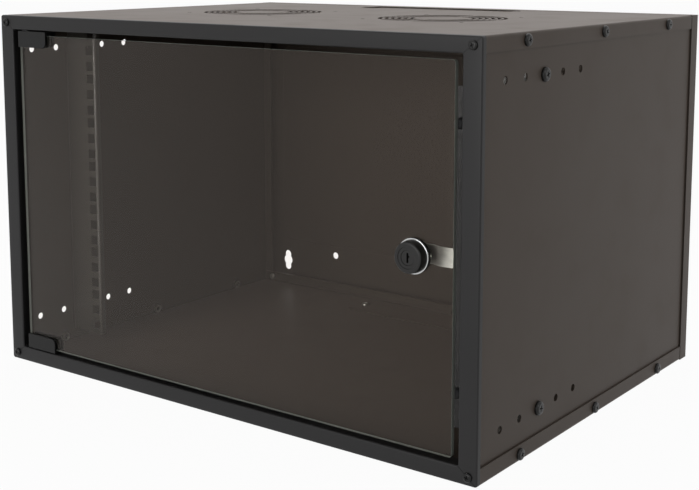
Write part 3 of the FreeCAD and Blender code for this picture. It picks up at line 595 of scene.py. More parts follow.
class Workpiece:
    """One mesh object while it is shaped with the modelling operators."""

    def __init__(self, thing: bpy.types.Object) -> None:
        """Take an object in hand.

        Args:
            thing: the object.
        """
        self.thing = thing

    @classmethod
    def _fresh(cls, name: str) -> "Workpiece":
        """Take up the primitive that was just added, its place put in its mesh.

        Args:
            name: the name that it gets.

        Returns:
            The piece.
        """
        thing = bpy.context.active_object
        thing.name = name
        bpy.ops.object.transform_apply(location=True, rotation=True, scale=True)
        return cls(thing)

    @classmethod
    def rod(
        cls, name: str, radius: float, low: float, high: float, sides: int = 32, at: Point = (0, 0, 0)
    ) -> "Workpiece":
        """Add an upright round bar.

        Args:
            name: the object's name.
            radius: its radius.
            low: the level of its lower end.
            high: the level of its upper end.
            sides: how many sides stand for the round.
            at: the point that its levels are measured from.

        Returns:
            The bar.
        """
        rest_tools()
        centre = (at[0], at[1], at[2] + (low + high) / 2)
        bpy.ops.mesh.primitive_cylinder_add(vertices=sides, radius=radius, depth=high - low, location=centre)
        return cls._fresh(name)

    @classmethod
    def block(cls, name: str, corner: Sequence[float], opposite: Sequence[float]) -> "Workpiece":
        """Add a block between any two opposite corners.

        Args:
            name: the object's name.
            corner: one corner.
            opposite: the corner opposite to it.

        Returns:
            The block.
        """
        rest_tools()
        centre = [(a + b) / 2 for a, b in zip(corner, opposite)]
        size = [abs(b - a) for a, b in zip(corner, opposite)]
        bpy.ops.mesh.primitive_cube_add(size=1.0, location=centre, scale=size)
        return cls._fresh(name)

    @classmethod
    def from_node(cls, name: str, node: str) -> "Workpiece":
        """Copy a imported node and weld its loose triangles.

        Args:
            name: the copy's name.
            node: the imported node.

        Returns:
            The welded copy.
        """
        source = frame["nodes"][node]
        rest_tools()
        copy = bpy.data.objects.new(name, source.data.copy())
        bpy.context.scene.collection.objects.link(copy)
        take(copy)
        with cls(copy).editing("VERT"):
            bpy.ops.mesh.select_all(action="SELECT")
            bpy.ops.mesh.remove_doubles(threshold=WELD)
            bpy.ops.mesh.dissolve_limited(angle_limit=math.radians(0.5))
        return cls(copy)

    @classmethod
    def joined(cls, name: str, pieces: Sequence["Workpiece"]) -> "Workpiece":
        """Make one object of several pieces, each still a solid of its own.

        Args:
            name: the object's name.
            pieces: the pieces, which the object takes up.

        Returns:
            The object.
        """
        take(*[piece.thing for piece in pieces])
        bpy.ops.object.join()
        pieces[0].thing.name = name
        return pieces[0]

    @contextmanager
    def editing(self, kind: str = "FACE") -> Iterator[bmesh.types.BMesh]:
        """Work in edit mode with nothing selected.

        Args:
            kind: what can be selected, VERT, EDGE or FACE.

        Yields:
            The mesh that is edited.
        """
        take(self.thing)
        bpy.ops.object.mode_set(mode="EDIT")
        bpy.ops.mesh.select_mode(type=kind)
        bpy.ops.mesh.select_all(action="DESELECT")
        yield bmesh.from_edit_mesh(self.thing.data)
        bpy.ops.object.mode_set(mode="OBJECT")

    @contextmanager
    def editing_end(self, upper: bool) -> Iterator[None]:
        """Work in edit mode with the flat faces of one end selected.

        Args:
            upper: whether it is the upper end, else the lower one.

        Yields:
            Nothing: the selection is what counts.
        """
        with self.editing() as mesh:
            for face in mesh.faces:
                if face.normal.z * (1 if upper else -1) > 0.9:
                    face.select_set(True)
            bmesh.update_edit_mesh(self.thing.data)
            yield

    def taper(self, upper: bool, share: float) -> "Workpiece":
        """Draw one end in.

        Args:
            upper: whether it is the upper end, else the lower one.
            share: what is left of its width.

        Returns:
            This piece.
        """
        with self.editing_end(upper):
            bpy.ops.transform.resize(value=(share, share, 1))
        return self

    def bevel_edges(self, width: float, segments: int, test: EdgeTest) -> "Workpiece":
        """Round the edges that pass a test.

        Args:
            width: how far the rounding reaches.
            segments: its steps.
            test: given the places of an edge's two ends.

        Returns:
            This piece.
        """
        with self.editing("EDGE") as mesh:
            for edge in mesh.edges:
                if test(edge.verts[0].co, edge.verts[1].co):
                    edge.select_set(True)
            bmesh.update_edit_mesh(self.thing.data)
            bpy.ops.mesh.bevel(offset=width, segments=segments, affect="EDGES")
        return self

    def split(self, corners: int = 5) -> "Workpiece":
        """Split the faces that have many corners into triangles.

        Args:
            corners: how many corners a face has at least to be split.

        Returns:
            This piece.
        """
        triangles = self.thing.modifiers.new("split", "TRIANGULATE")
        triangles.min_vertices = corners
        take(self.thing)
        bpy.ops.object.modifier_apply(modifier=triangles.name)
        return self

    def soften(self, width: float, segments: int = 2, angle: float = 30.0) -> "Workpiece":
        """Round every sharp edge a little, as paint and tumbling do.

        Args:
            width: how far the rounding reaches.
            segments: its steps.
            angle: the least angle of an edge that counts as sharp, in degrees.

        Returns:
            This piece.
        """
        bevel = self.thing.modifiers.new("soften", "BEVEL")
        bevel.width = width
        bevel.segments = segments
        bevel.limit_method = "ANGLE"
        bevel.angle_limit = math.radians(angle)
        bevel.use_clamp_overlap = True
        take(self.thing)
        bpy.ops.object.modifier_apply(modifier=bevel.name)
        return self

    def _boolean(self, operation: str, tools: Sequence["Workpiece"]) -> "Workpiece":
        """Apply one boolean operation for each tool and throw the tools away.

        Args:
            operation: DIFFERENCE, UNION or INTERSECT.
            tools: the other pieces.

        Returns:
            This piece.
        """
        for tool in tools:
            boolean = self.thing.modifiers.new("join", "BOOLEAN")
            boolean.operation = operation
            boolean.solver = "EXACT"
            boolean.object = tool.thing
            take(self.thing)
            bpy.ops.object.modifier_apply(modifier=boolean.name)
            bpy.data.objects.remove(tool.thing)
        return self

    def cut(self, *tools: "Workpiece") -> "Workpiece":
        """Cut tools out of this piece."""
        return self._boolean("DIFFERENCE", tools)

    def weld(self, *tools: "Workpiece") -> "Workpiece":
        """Make one solid of this piece and others."""
        return self._boolean("UNION", tools)

    def common(self, tool: "Workpiece") -> "Workpiece":
        """Keep only what this piece shares with a tool."""
        return self._boolean("INTERSECT", [tool])

    def copy(self, name: str) -> "Workpiece":
        """Copy the piece, mesh and all.

        Args:
            name: the copy's name.

        Returns:
            The copy.
        """
        twin = bpy.data.objects.new(name, self.thing.data.copy())
        bpy.context.scene.collection.objects.link(twin)
        return Workpiece(twin)

    def seat(self, at: Sequence[float], towards: Point = (0, 0, 1), turn: float = 0.0) -> "Workpiece":
        """Carry the piece from the origin to its place, with its +Z axis along a direction.

        Args:
            at: where its origin goes.
            towards: where its +Z axis points.
            turn: how far it is turned about that axis, in degrees.

        Returns:
            This piece.
        """
        aim = Vector((0, 0, 1)).rotation_difference(Vector(towards)).to_matrix().to_4x4()
        spin = Matrix.Rotation(math.radians(turn), 4, "Z")
        self.thing.matrix_world = Matrix.Translation(Vector(at)) @ aim @ spin
        take(self.thing)
        bpy.ops.object.transform_apply(location=True, rotation=True, scale=True)
        return self

    def smooth(self, angle: float = 30.0) -> "Workpiece":
        """Shade the rounded edges smoothly and keep flat faces flat.

        Args:
            angle: the greatest angle of an edge that is shaded smoothly, in degrees.

        Returns:
            This piece.
        """
        take(self.thing)
        bpy.ops.object.shade_smooth_by_angle(angle=math.radians(angle))
        weights = self.thing.modifiers.new("flat faces", "WEIGHTED_NORMAL")
        weights.keep_sharp = True
        bpy.ops.object.modifier_apply(modifier=weights.name)
        return self

    def stand_for(self, *nodes: str, finish: Finish | None = None) -> bpy.types.Object:
        """Finish the piece: it rides with the nodes' body and is shown in their place.

        Args:
            nodes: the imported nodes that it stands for.
            finish: its finish, or None for that of the first node's slot.

        Returns:
            The finished object.
        """
        slot = SLOT_OF[nodes[0]]
        WARDROBE.dress(self.thing, finish or Finish[slot])
        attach(self.thing, BODY_OF[nodes[0]])
        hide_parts(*nodes)
        faces = len(self.thing.data.polygons)
        log.info("%s stands for %s, %d faces", self.thing.name, ", ".join(nodes), faces)
        return self.thing


def solids_of(node: str) -> list[Box]:
    """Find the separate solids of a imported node.

    Args:
        node: the node's name.

    Returns:
        The lowest and highest corner of each solid, always in the same order.
    """
    mesh = bmesh.new()
    mesh.from_mesh(frame["nodes"][node].data)
    bmesh.ops.remove_doubles(mesh, verts=mesh.verts, dist=WELD)
    left = set(mesh.verts)
    boxes = []
    while left:
        places, to_visit = [], [left.pop()]
        while to_visit:
            vertex = to_visit.pop()
            places.append(vertex.co)
            near = {edge.other_vert(vertex) for edge in vertex.link_edges} & left
            left -= near
            to_visit += near
        low, high = (Vector([pick(place[i] for place in places) for i in Axis]) for pick in (min, max))
        boxes.append((low, high))
    mesh.free()
    return sorted(boxes, key=lambda box: tuple(box[0]))


def middle_of(box: Box) -> Vector:
    """Return the centre of a box."""
    return (box[0] + box[1]) / 2


def box_of(node: str) -> Box:
    """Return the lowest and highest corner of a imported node."""
    low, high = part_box(node)
    return (Vector(low), Vector(high))


# --------------------------------------------------------------------------- fasteners


@dataclass(frozen=True)
class Thread:
    """Sizes of one metric screw and its nut, in metres."""

    radius: float
    pitch: float
    head_radius: float
    head_height: float
    recess: float
    nut_flats: float


class Metric(Enum):
    """The screw sizes of the cabinet."""

    M4 = Thread(2.0 * MM, 0.7 * MM, 3.8 * MM, 2.2 * MM, 4.2 * MM, 7.0 * MM)
    M5 = Thread(2.5 * MM, 0.8 * MM, 5.0 * MM, 2.6 * MM, 5.0 * MM, 8.0 * MM)
    M6 = Thread(3.0 * MM, 1.0 * MM, 6.0 * MM, 3.2 * MM, 6.2 * MM, 10.0 * MM)


def add_ridges(bar: Workpiece, pitch: float, count: int, root: float = 0.84) -> None:
    """Draw a thread's ridges out of the lower end of a bar.

    Args:
        bar: the bar, as wide as the thread's outside.
        pitch: one ridge to the next.
        count: how many ridges.
        root: the root's radius as a share of the outer one.
    """
    with bar.editing_end(upper=False):
        for _ in range(count):
            for factor in (root, 1 / root):
                bpy.ops.mesh.extrude_region_move(TRANSFORM_OT_translate={"value": (0, 0, -pitch / 2)})
                bpy.ops.transform.resize(value=(factor, factor, 1))


@dataclass(frozen=True)
class PanScrew:
    """Pan-head screw with a cross recess.

    The crown, the recess's floor and the height of the tool that cuts it are shares of the
    head's height, and the wings' thickness is a share of the recess's width.
    """

    size: Thread
    length: float
    crown: float = 0.72
    recess_floor: float = 0.25
    recess_top: float = 1.5
    recess_taper: float = 0.62
    wing: float = 0.2
    plain: float = 0.4 * MM
    overlap: float = 0.05 * MM

    def build(self) -> Workpiece:
        """Model the screw.

        Returns:
            The screw, its seat at the origin and its head above it.
        """
        size = self.size
        head = Workpiece.rod("pan_head", size.head_radius, 0, size.head_height, 32)
        head.bevel_edges(size.head_height * self.crown, 5, around(Axis.Z, size.head_height))
        half_wing = size.recess * self.wing / 2
        reach = size.recess / 2
        floor = size.head_height * self.recess_floor
        top = size.head_height * self.recess_top
        cross = Workpiece.block("cross", (-reach, -half_wing, floor), (reach, half_wing, top))
        cross.weld(Workpiece.block("bar", (-half_wing, -reach, floor), (half_wing, reach, top)))
        head.cut(cross.taper(upper=False, share=self.recess_taper))
        shank = Workpiece.rod("shank", size.radius, -self.plain, self.overlap, 20)
        add_ridges(shank, size.pitch, int((self.length - self.plain) / size.pitch))
        return head.weld(shank).smooth(35)


@dataclass(frozen=True)
class HexNut:
    """Hexagon nut with chamfered corners and a countersunk bore, its corners turned down a little."""

    height: float
    flats: float
    bore: float
    turning: float = 0.995
    chamfer: float = 0.75
    sink: float = 1.12
    sink_depth: float = 0.35 * MM

    def build(self) -> Workpiece:
        """Model the nut.

        Returns:
            The nut, standing on the origin.
        """
        corner = self.flats / math.sqrt(3)
        nut = Workpiece.rod("hex_nut", corner, 0, self.height, 6)
        with nut.editing():
            bpy.ops.mesh.select_all(action="SELECT")
            bpy.ops.transform.rotate(value=math.radians(30), orient_axis="Z", center_override=(0, 0, 0))
        turned = Workpiece.rod("turned", corner * self.turning, 0, self.height, 48)
        turned.bevel_edges((corner - self.flats / 2) * self.chamfer, 2, is_rim)
        nut.common(turned)
        drill = Workpiece.rod("drill", self.bore, -PAST, self.height + PAST, 24)
        for end in (0.0, self.height):
            low, high = end - self.sink_depth, end + self.sink_depth
            drill.weld(Workpiece.rod("sink", self.bore * self.sink, low, high, 24))
        return nut.cut(drill).smooth(35)


@dataclass
class FastenerRow:
    """All fasteners of one kind and place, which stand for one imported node."""

    node: str
    metric: Metric
    towards: Direction

    def pattern(self, extent: float) -> tuple[Workpiece, float]:
        """Model one fastener of an extent, and say how far its seat is from its middle."""
        raise NotImplementedError

    def name(self) -> str:
        """Return the finished object's name."""
        raise NotImplementedError

    def turn(self, number: int) -> float:
        """Return how far a fastener is turned about its axis, in degrees."""
        return 0.0

    def build(self) -> None:
        """Model one fastener and copy it to the place of each packed one."""
        boxes = solids_of(self.node)
        axis = Vector(self.towards(middle_of(boxes[0])))
        extent = abs((boxes[0][1] - boxes[0][0]).dot(axis))
        pattern, seat = self.pattern(extent)
        copies = []
        for number, box in enumerate(boxes):
            towards = Vector(self.towards(middle_of(box)))
            twin = pattern.copy(f"{self.node}_{number}")
            copies.append(twin.seat(middle_of(box) + towards * seat, tuple(towards), self.turn(number)))
        bpy.data.objects.remove(pattern.thing)
        Workpiece.joined(self.name(), copies).stand_for(self.node)


class ScrewRow(FastenerRow):
    """Pan-head screws, each driven to a turn of its own."""

    FIRST_TURN = 17.0
    NEXT_TURN = 31.0

    def pattern(self, extent: float) -> tuple[Workpiece, float]:
        """Model one screw of an extent, and say how far its seat is from its middle."""
        size = self.metric.value
        return PanScrew(size, extent - size.head_height).build(), extent / 2 - size.head_height

    def name(self) -> str:
        """Return the finished object's name."""
        return f"cross_recess_{self.node}"

    def turn(self, number: int) -> float:
        """Return how far a screw is turned about its axis, in degrees."""
        return self.FIRST_TURN + self.NEXT_TURN * number


class NutRow(FastenerRow):
    """Hexagon nuts."""

    def pattern(self, extent: float) -> tuple[Workpiece, float]:
        """Model one nut of an extent, and say how far its seat is from its middle."""
        size = self.metric.value
        return HexNut(extent, size.nut_flats, size.radius).build(), -extent / 2

    def name(self) -> str:
        """Return the finished object's name."""
        return f"chamfered_{self.node}"


def sideways(place: Vector) -> Point:
    """Return the direction out of the side panel nearest to a place."""
    return (math.copysign(1.0, place.x), 0.0, 0.0)


def side_inwards(place: Vector) -> Point:
    """Return the direction into the cabinet from the side panel nearest to a place."""
    return (-math.copysign(1.0, place.x), 0.0, 0.0)


def forwards(place: Vector) -> Point:
    """Return the direction towards the user."""
    return (0.0, -1.0, 0.0)


def backwards(place: Vector) -> Point:
    """Return the direction towards the wall."""
    return (0.0, 1.0, 0.0)


def level_inwards(place: Vector) -> Point:
    """Return the direction into the cabinet from the top or bottom panel."""
    return (0.0, 0.0, -1.0 if place.z > MIDDLE_HEIGHT else 1.0)


@dataclass
class Fasteners:
    """Screws and nuts that hold the housing together."""

    screws: tuple[ScrewRow, ...] = (
        ScrewRow("top_flange_screws", Metric.M5, sideways),
        ScrewRow("bottom_flange_screws", Metric.M5, sideways),
        ScrewRow("front_frame_screws", Metric.M4, forwards),
        ScrewRow("back_panel_screws", Metric.M4, forwards),
        ScrewRow("top_cover_screws", Metric.M4, level_inwards),
        ScrewRow("bottom_cover_screws", Metric.M4, level_inwards),
        ScrewRow("rail_screws", Metric.M6, sideways),
        ScrewRow("cam_screw", Metric.M4, backwards),
    )
    nuts: tuple[NutRow, ...] = (
        NutRow("flange_nuts", Metric.M5, side_inwards),
        NutRow("front_frame_nuts", Metric.M4, backwards),
        NutRow("back_panel_nuts", Metric.M4, backwards),
        NutRow("rail_nuts", Metric.M6, side_inwards),
    )

    def build(self) -> None:
        """Model every row of screws and nuts."""
        for row in (*self.screws, *self.nuts):
            row.build()


# --------------------------------------------------------------------------- lock


@dataclass
class CamLock:
    """Cam lock in the pane: cap, barrel, plug, ring, gaskets, nut and cam."""

    cap_draft: float = 0.93
    cap_rim: float = 1.3 * MM
    dish: float = 0.7
    dish_depth: float = 0.5 * MM
    barrel_radius: float = 8.0 * MM
    barrel_neck: float = 2.0 * MM
    barrel_root: float = 0.93
    barrel_pitch: float = 1.0 * MM
    thread_end: float = 2.6 * MM
    plug_radius: float = 6.0 * MM
    plug_setback: float = 0.7 * MM
    tapped_radius: float = 2.1 * MM
    tapped_depth: float = 6.0 * MM
    running_gap: float = 0.05 * MM
    slot_width: float = 1.7 * MM
    slot_height: float = 7.8 * MM
    slot_depth: float = 5.0 * MM
    ward: tuple[float, float, float] = (0.2, 0.05, 0.22)
    ring_roll: float = 0.7 * MM
    cam_edge: float = 0.3 * MM

    def build(self) -> None:
        """Model every piece of the lock."""
        self.build_housing()
        self.build_plug()
        self.build_ring()
        self.build_gaskets()
        self.build_nut()
        self.build_cam()

    def axis(self) -> Place:
        """Return x and z of the lock's axis."""
        centre = middle_of(box_of("lock_housing"))
        return (centre.x, centre.z)

    def seat(self, piece: Workpiece, y: float) -> Workpiece:
        """Put a piece on the lock's axis, its +Z towards the user."""
        x, z = self.axis()
        return piece.seat((x, y, z), (0, -1, 0))

    def barrel_bore(self) -> Workpiece:
        """Make the tool that opens a washer or ring for the barrel."""
        return Workpiece.rod("bore", self.barrel_radius + self.running_gap, -PAST, 3 * PAST, 64)

    def build_housing(self) -> None:
        """Model the cap and the threaded barrel as one casting."""
        low, high = box_of("lock_housing")
        ring_front = box_of("lock_ring")[0].y
        cap = ring_front - low.y
        tail = high.y - ring_front
        radius = (high.x - low.x) / 2
        housing = Workpiece.rod("lock_cap_and_barrel", radius, 0, cap, 72)
        housing.taper(upper=True, share=self.cap_draft)
        housing.bevel_edges(self.cap_rim, 5, around(Axis.Z, cap))
        dish = Workpiece.rod("dish", radius * self.dish, cap - self.dish_depth, cap + PAST, 72)
        housing.cut(dish.taper(upper=False, share=self.cap_draft))
        barrel = Workpiece.rod("barrel", self.barrel_radius, -self.barrel_neck, 0.1 * MM, 48)
        ridges = int((tail - self.thread_end) / self.barrel_pitch)
        add_ridges(barrel, self.barrel_pitch, ridges, self.barrel_root)
        root, inner = self.barrel_radius * self.barrel_root, -tail + 2 * MM
        housing.weld(barrel.weld(Workpiece.rod("barrel_end", root, -tail, inner, 48)))
        bore = Workpiece.rod("bore", self.plug_radius + self.running_gap, -tail - PAST, cap + PAST, 64)
        self.seat(housing.cut(bore).smooth(35), ring_front).stand_for("lock_housing")

    def build_plug(self) -> None:
        """Model the part that the key turns, with its key slot."""
        low, high = box_of("lock_plug")
        front = high.y - low.y - self.plug_setback
        plug = Workpiece.rod("key_plug", self.plug_radius, 0, front, 64)
        plug.bevel_edges(self.plug_setback / 2, 3, around(Axis.Z, front))
        width, height = self.slot_width, self.slot_height
        floor, top = front - self.slot_depth, front + PAST
        slot = Workpiece.block("slot", (-width / 2, -height / 2, floor), (width / 2, height / 2, top))
        left, low_end, high_end = self.ward
        near, far = (-width * left, height * low_end, floor), (width, height * high_end, top)
        ward = Workpiece.block("ward", near, far)
        plug.cut(slot.weld(ward))
        plug.cut(Workpiece.rod("tapped", self.tapped_radius, -PAST, self.tapped_depth, 24))
        self.seat(plug.smooth(35), high.y).stand_for("lock_plug")

    def build_ring(self) -> None:
        """Model the bright ring round the cap, with a rolled edge."""
        low, high = box_of("lock_ring")
        thickness = high.y - low.y
        ring = Workpiece.rod("bright_ring", (high.x - low.x) / 2, 0, thickness, 96)
        ring.bevel_edges(self.ring_roll, 5, around(Axis.Z, thickness))
        self.seat(ring.cut(self.barrel_bore()).smooth(35), high.y).stand_for("lock_ring")

    def build_gaskets(self) -> None:
        """Model the rubber washers either side of the pane."""
        washers = []
        for low, high in solids_of("lock_gaskets"):
            washer = Workpiece.rod("washer", (high.x - low.x) / 2, 0, high.y - low.y, 64)
            washer.cut(self.barrel_bore()).soften(0.12 * MM, 2, 40)
            washers.append(self.seat(washer.smooth(35), high.y))
        Workpiece.joined("rubber_washers", washers).stand_for("lock_gaskets")

    def build_nut(self) -> None:
        """Model the large nut behind the pane."""
        low, high = box_of("lock_nut")
        wide, thick, tall = high - low
        nut = HexNut(thick, min(wide, tall), self.barrel_radius + self.running_gap).build()
        x, z = self.axis()
        nut.seat((x, low.y, z), (0, 1, 0), turn=0.0 if wide > tall else 30.0)
        nut.thing.name = "barrel_nut"
        nut.stand_for("lock_nut")

    def build_cam(self) -> None:
        """Round the edges and the hub of the pressed cam."""
        cam = Workpiece.from_node("pressed_cam", "lock_cam")
        cam.soften(self.cam_edge, 3, 25).smooth(35).stand_for("lock_cam")


# --------------------------------------------------------------------------- door


@dataclass
class GlassDoor:
    """The pane and its two pivot hinges.

    The pane is ground where its faces' normals have less than the polished share of -Y or +Y,
    and a buffer's dome is a share of its height.
    """

    corner: float = 2.4 * MM
    ground_edge: float = 0.9 * MM
    polished: float = 0.97
    hole_radius: float = 8.5 * MM
    clamp_edge: float = 0.45 * MM
    pin_chamfer: float = 0.35 * MM
    bush_bore: float = 2.05 * MM
    bush_radius: float = 3.45 * MM
    bush_flange: float = 0.8 * MM
    grub_chamfer: float = 0.3 * MM
    socket_radius: float = 1.15 * MM
    socket_depth: float = 2.0 * MM
    buffer_dome: float = 0.6

    def build(self) -> None:
        """Model the pane, and the turned and rubber pieces of both hinges."""
        self.build_pane()
        for end in ("upper", "lower"):
            self.build_clamp(end)
            self.build_pin(end)
            self.build_bush(end)
            self.build_grub_screws(end)
        self.build_buffers()

    def build_pane(self) -> None:
        """Model the pane with its ground edges and the lock's hole."""
        low, high = box_of("glass_pane")
        pane = Workpiece.block("pane", low, high).bevel_edges(self.corner, 6, along(Axis.Y))
        centre = middle_of(box_of("lock_housing"))
        drill = Workpiece.rod("drill", self.hole_radius, -10 * MM, 10 * MM, 72)
        pane.cut(drill.seat((centre.x, (low.y + high.y) / 2, centre.z), (0, 1, 0)))
        finished = pane.split().soften(self.ground_edge, 2, 60).smooth(20).stand_for("glass_pane")
        finished.data.materials.append(WARDROBE.material(Finish.glass_edge))
        for face in finished.data.polygons:
            if abs(face.normal.y) < self.polished:
                face.material_index = 1

    def build_clamp(self, end: str) -> None:
        """Round the edges of one die-cast clamp.

        Args:
            end: which hinge it belongs to, upper or lower.
        """
        clamp = Workpiece.from_node(f"cast_clamp_{end}", f"{end}_hinge_clamp")
        clamp.soften(self.clamp_edge, 3).smooth(35).stand_for(f"{end}_hinge_clamp")

    def build_pin(self, end: str) -> None:
        """Model one pivot pin with chamfered ends.

        Args:
            end: which hinge it belongs to, upper or lower.
        """
        low, high = box_of(f"{end}_hinge_pin")
        centre = middle_of((low, high))
        radius = (high.x - low.x) / 2
        pin = Workpiece.rod(f"turned_pin_{end}", radius, low.z, high.z, 40, (centre.x, centre.y, 0))
        pin.bevel_edges(self.pin_chamfer, 2, is_rim).smooth(35).stand_for(f"{end}_hinge_pin")

    def build_bush(self, end: str) -> None:
        """Model one flanged nylon bush.

        Args:
            end: which hinge it belongs to, upper or lower.
        """
        low, high = box_of(f"{end}_hinge_bush")
        centre = middle_of((low, high))
        at = (centre.x, centre.y, 0)
        flange = (high.z - self.bush_flange, high.z) if end == "lower" else (low.z, low.z + self.bush_flange)
        disc = Workpiece.rod(f"flanged_bush_{end}", (high.x - low.x) / 2, *flange, 48, at)
        disc.weld(Workpiece.rod("barrel", self.bush_radius, low.z, high.z, 40, at))
        disc.cut(Workpiece.rod("bore", self.bush_bore, low.z - PAST, high.z + PAST, 40, at))
        disc.soften(0.15 * MM, 2, 50).smooth(35).stand_for(f"{end}_hinge_bush")

    def build_grub_screws(self, end: str) -> None:
        """Model one clamp's two socket screws.

        Args:
            end: which hinge it belongs to, upper or lower.
        """
        screws = []
        for low, high in solids_of(f"{end}_hinge_screws"):
            centre = middle_of((low, high))
            length = high.y - low.y
            screw = Workpiece.rod("grub", Metric.M4.value.radius, 0, length, 24)
            screw.bevel_edges(self.grub_chamfer, 2, is_rim)
            socket = length - self.socket_depth
            screw.cut(Workpiece.rod("socket", self.socket_radius, socket, length + PAST, 6))
            screws.append(screw.smooth(35).seat((centre.x, low.y, centre.z), (0, 1, 0)))
        Workpiece.joined(f"socket_screws_{end}", screws).stand_for(f"{end}_hinge_screws")

    def build_buffers(self) -> None:
        """Model the domed rubber buffers that the pane closes against."""
        buffers = []
        for low, high in solids_of("door_buffers"):
            centre = middle_of((low, high))
            height = high.y - low.y
            buffer = Workpiece.rod("buffer", (high.x - low.x) / 2, 0, height, 40)
            buffer.bevel_edges(height * self.buffer_dome, 5, around(Axis.Z, height))
            buffers.append(buffer.smooth(40).seat((centre.x, high.y, centre.z), (0, -1, 0)))
        Workpiece.joined("domed_buffers", buffers).stand_for("door_buffers")


# --------------------------------------------------------------------------- housing


def drills_for(node: str, towards: Direction, radius: float) -> Workpiece:
    """Make a round drill where each screw of a packed row goes through the sheets.

    Args:
        node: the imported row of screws.
        towards: gives the direction of the screw at a place.
        radius: the drill's radius.

    Returns:
        All the drills as one object.
    """
    drills = []
    for box in solids_of(node):
        axis = Vector(towards(middle_of(box)))
        reach = abs((box[1] - box[0]).dot(axis)) / 2 + PAST
        drill = Workpiece.rod("drill", radius, -reach, reach, 20)
        drills.append(drill.seat(middle_of(box), tuple(axis)))
    return Workpiece.joined("drills", drills)


@dataclass
class Sheet:
    """What every folded sheet has in common."""

    thick: float = 1.2 * MM
    bend: float = 2.4 * MM
    edge: float = 0.22 * MM
    m4_hole: float = 2.2 * MM
    m5_hole: float = 2.7 * MM
    m6_hole: float = 3.25 * MM

    def trough(self, name: str, box: Box, axis: int, side: float, bends: int = 5) -> Workpiece:
        """Fold a plate with a wall on each of its four sides.

        Args:
            name: the object's name.
            box: the lowest and highest corner of the whole.
            axis: the axis across the plate.
            side: 1 if the plate's outer face looks up that axis, -1 if it looks down.
            bends: steps of the rounding at a bend.

        Returns:
            The folded plate, open opposite to its outer face.
        """
        low, high = box
        shell = Workpiece.block(name, low, high)
        face = high[axis] if side > 0 else low[axis]
        shell.bevel_edges(self.bend, bends, self.bent_edges(axis, face, high.y))
        inner_low, inner_high = low.copy(), high.copy()
        for i in Axis:
            inner_low[i] += self.thick
            inner_high[i] -= self.thick
        if side > 0:
            inner_low[axis] = low[axis] - 5 * MM
        else:
            inner_high[axis] = high[axis] + 5 * MM
        hollow = Workpiece.block("hollow", inner_low, inner_high)
        ground = inner_high[axis] if side > 0 else inner_low[axis]
        hollow.bevel_edges(self.bend - self.thick, bends, self.bent_edges(axis, ground, inner_high.y))
        return shell.cut(hollow)

    def bent_edges(self, axis: int, place: float, rear: float) -> EdgeTest:
        """Return a test for the edges of a block that become bends.

        Args:
            axis: the axis across the plate.
            place: the plate's place on that axis.
            rear: the block's rear end; not used here.

        Returns:
            A test on the two ends of an edge.
        """
        return around(axis, place)

    def finish(self, sheet: Workpiece, node: str) -> None:
        """Take the sharpness off a sheet's edges and let it stand for its node."""
        sheet.split().soften(self.edge, 2, 40).smooth(35).stand_for(node)


@dataclass
class FanVent:
    """Round field of ring slots over a fan, and the fan's four fixing holes."""

    rings: int = 6
    first: float = 28.9 * MM
    pitch: float = 5.8 * MM
    slot: float = 3.4 * MM
    spoke: float = 5.0 * MM
    hole_pitch: float = 104.8 * MM
    hole_radius: float = 2.25 * MM

    def cutter(self, centre: Vector, thick: float) -> Workpiece:
        """Make the tool that cuts the vent.

        Args:
            centre: the vent's centre on the sheet's outer face.
            thick: how deep the tool reaches either side of it.

        Returns:
            The tool: six rings in four quarters, and four drills.
        """
        tubes = []
        for ring in range(self.rings):
            middle = self.first + self.pitch * ring
            tube = Workpiece.rod("ring", middle + self.slot / 2, -thick, thick, 96)
            tubes.append(tube.cut(Workpiece.rod("core", middle - self.slot / 2, -thick * 2, thick * 2, 96)))
        reach = self.first + self.pitch * self.rings
        half = self.spoke / 2
        spokes = Workpiece.block("spokes", (-reach, -half, -thick * 3), (reach, half, thick * 3))
        spokes.weld(Workpiece.block("spoke", (-half, -reach, -thick * 3), (half, reach, thick * 3)))
        rings = Workpiece.joined("rings", tubes).cut(spokes)
        corner = self.hole_pitch / 2
        drills = []
        for x in (-corner, corner):
            for y in (-corner, corner):
                drills.append(Workpiece.rod("fan_drill", self.hole_radius, -thick, thick, 32, (x, y, 0)))
        return Workpiece.joined("vent", [rings, *drills]).seat(centre)


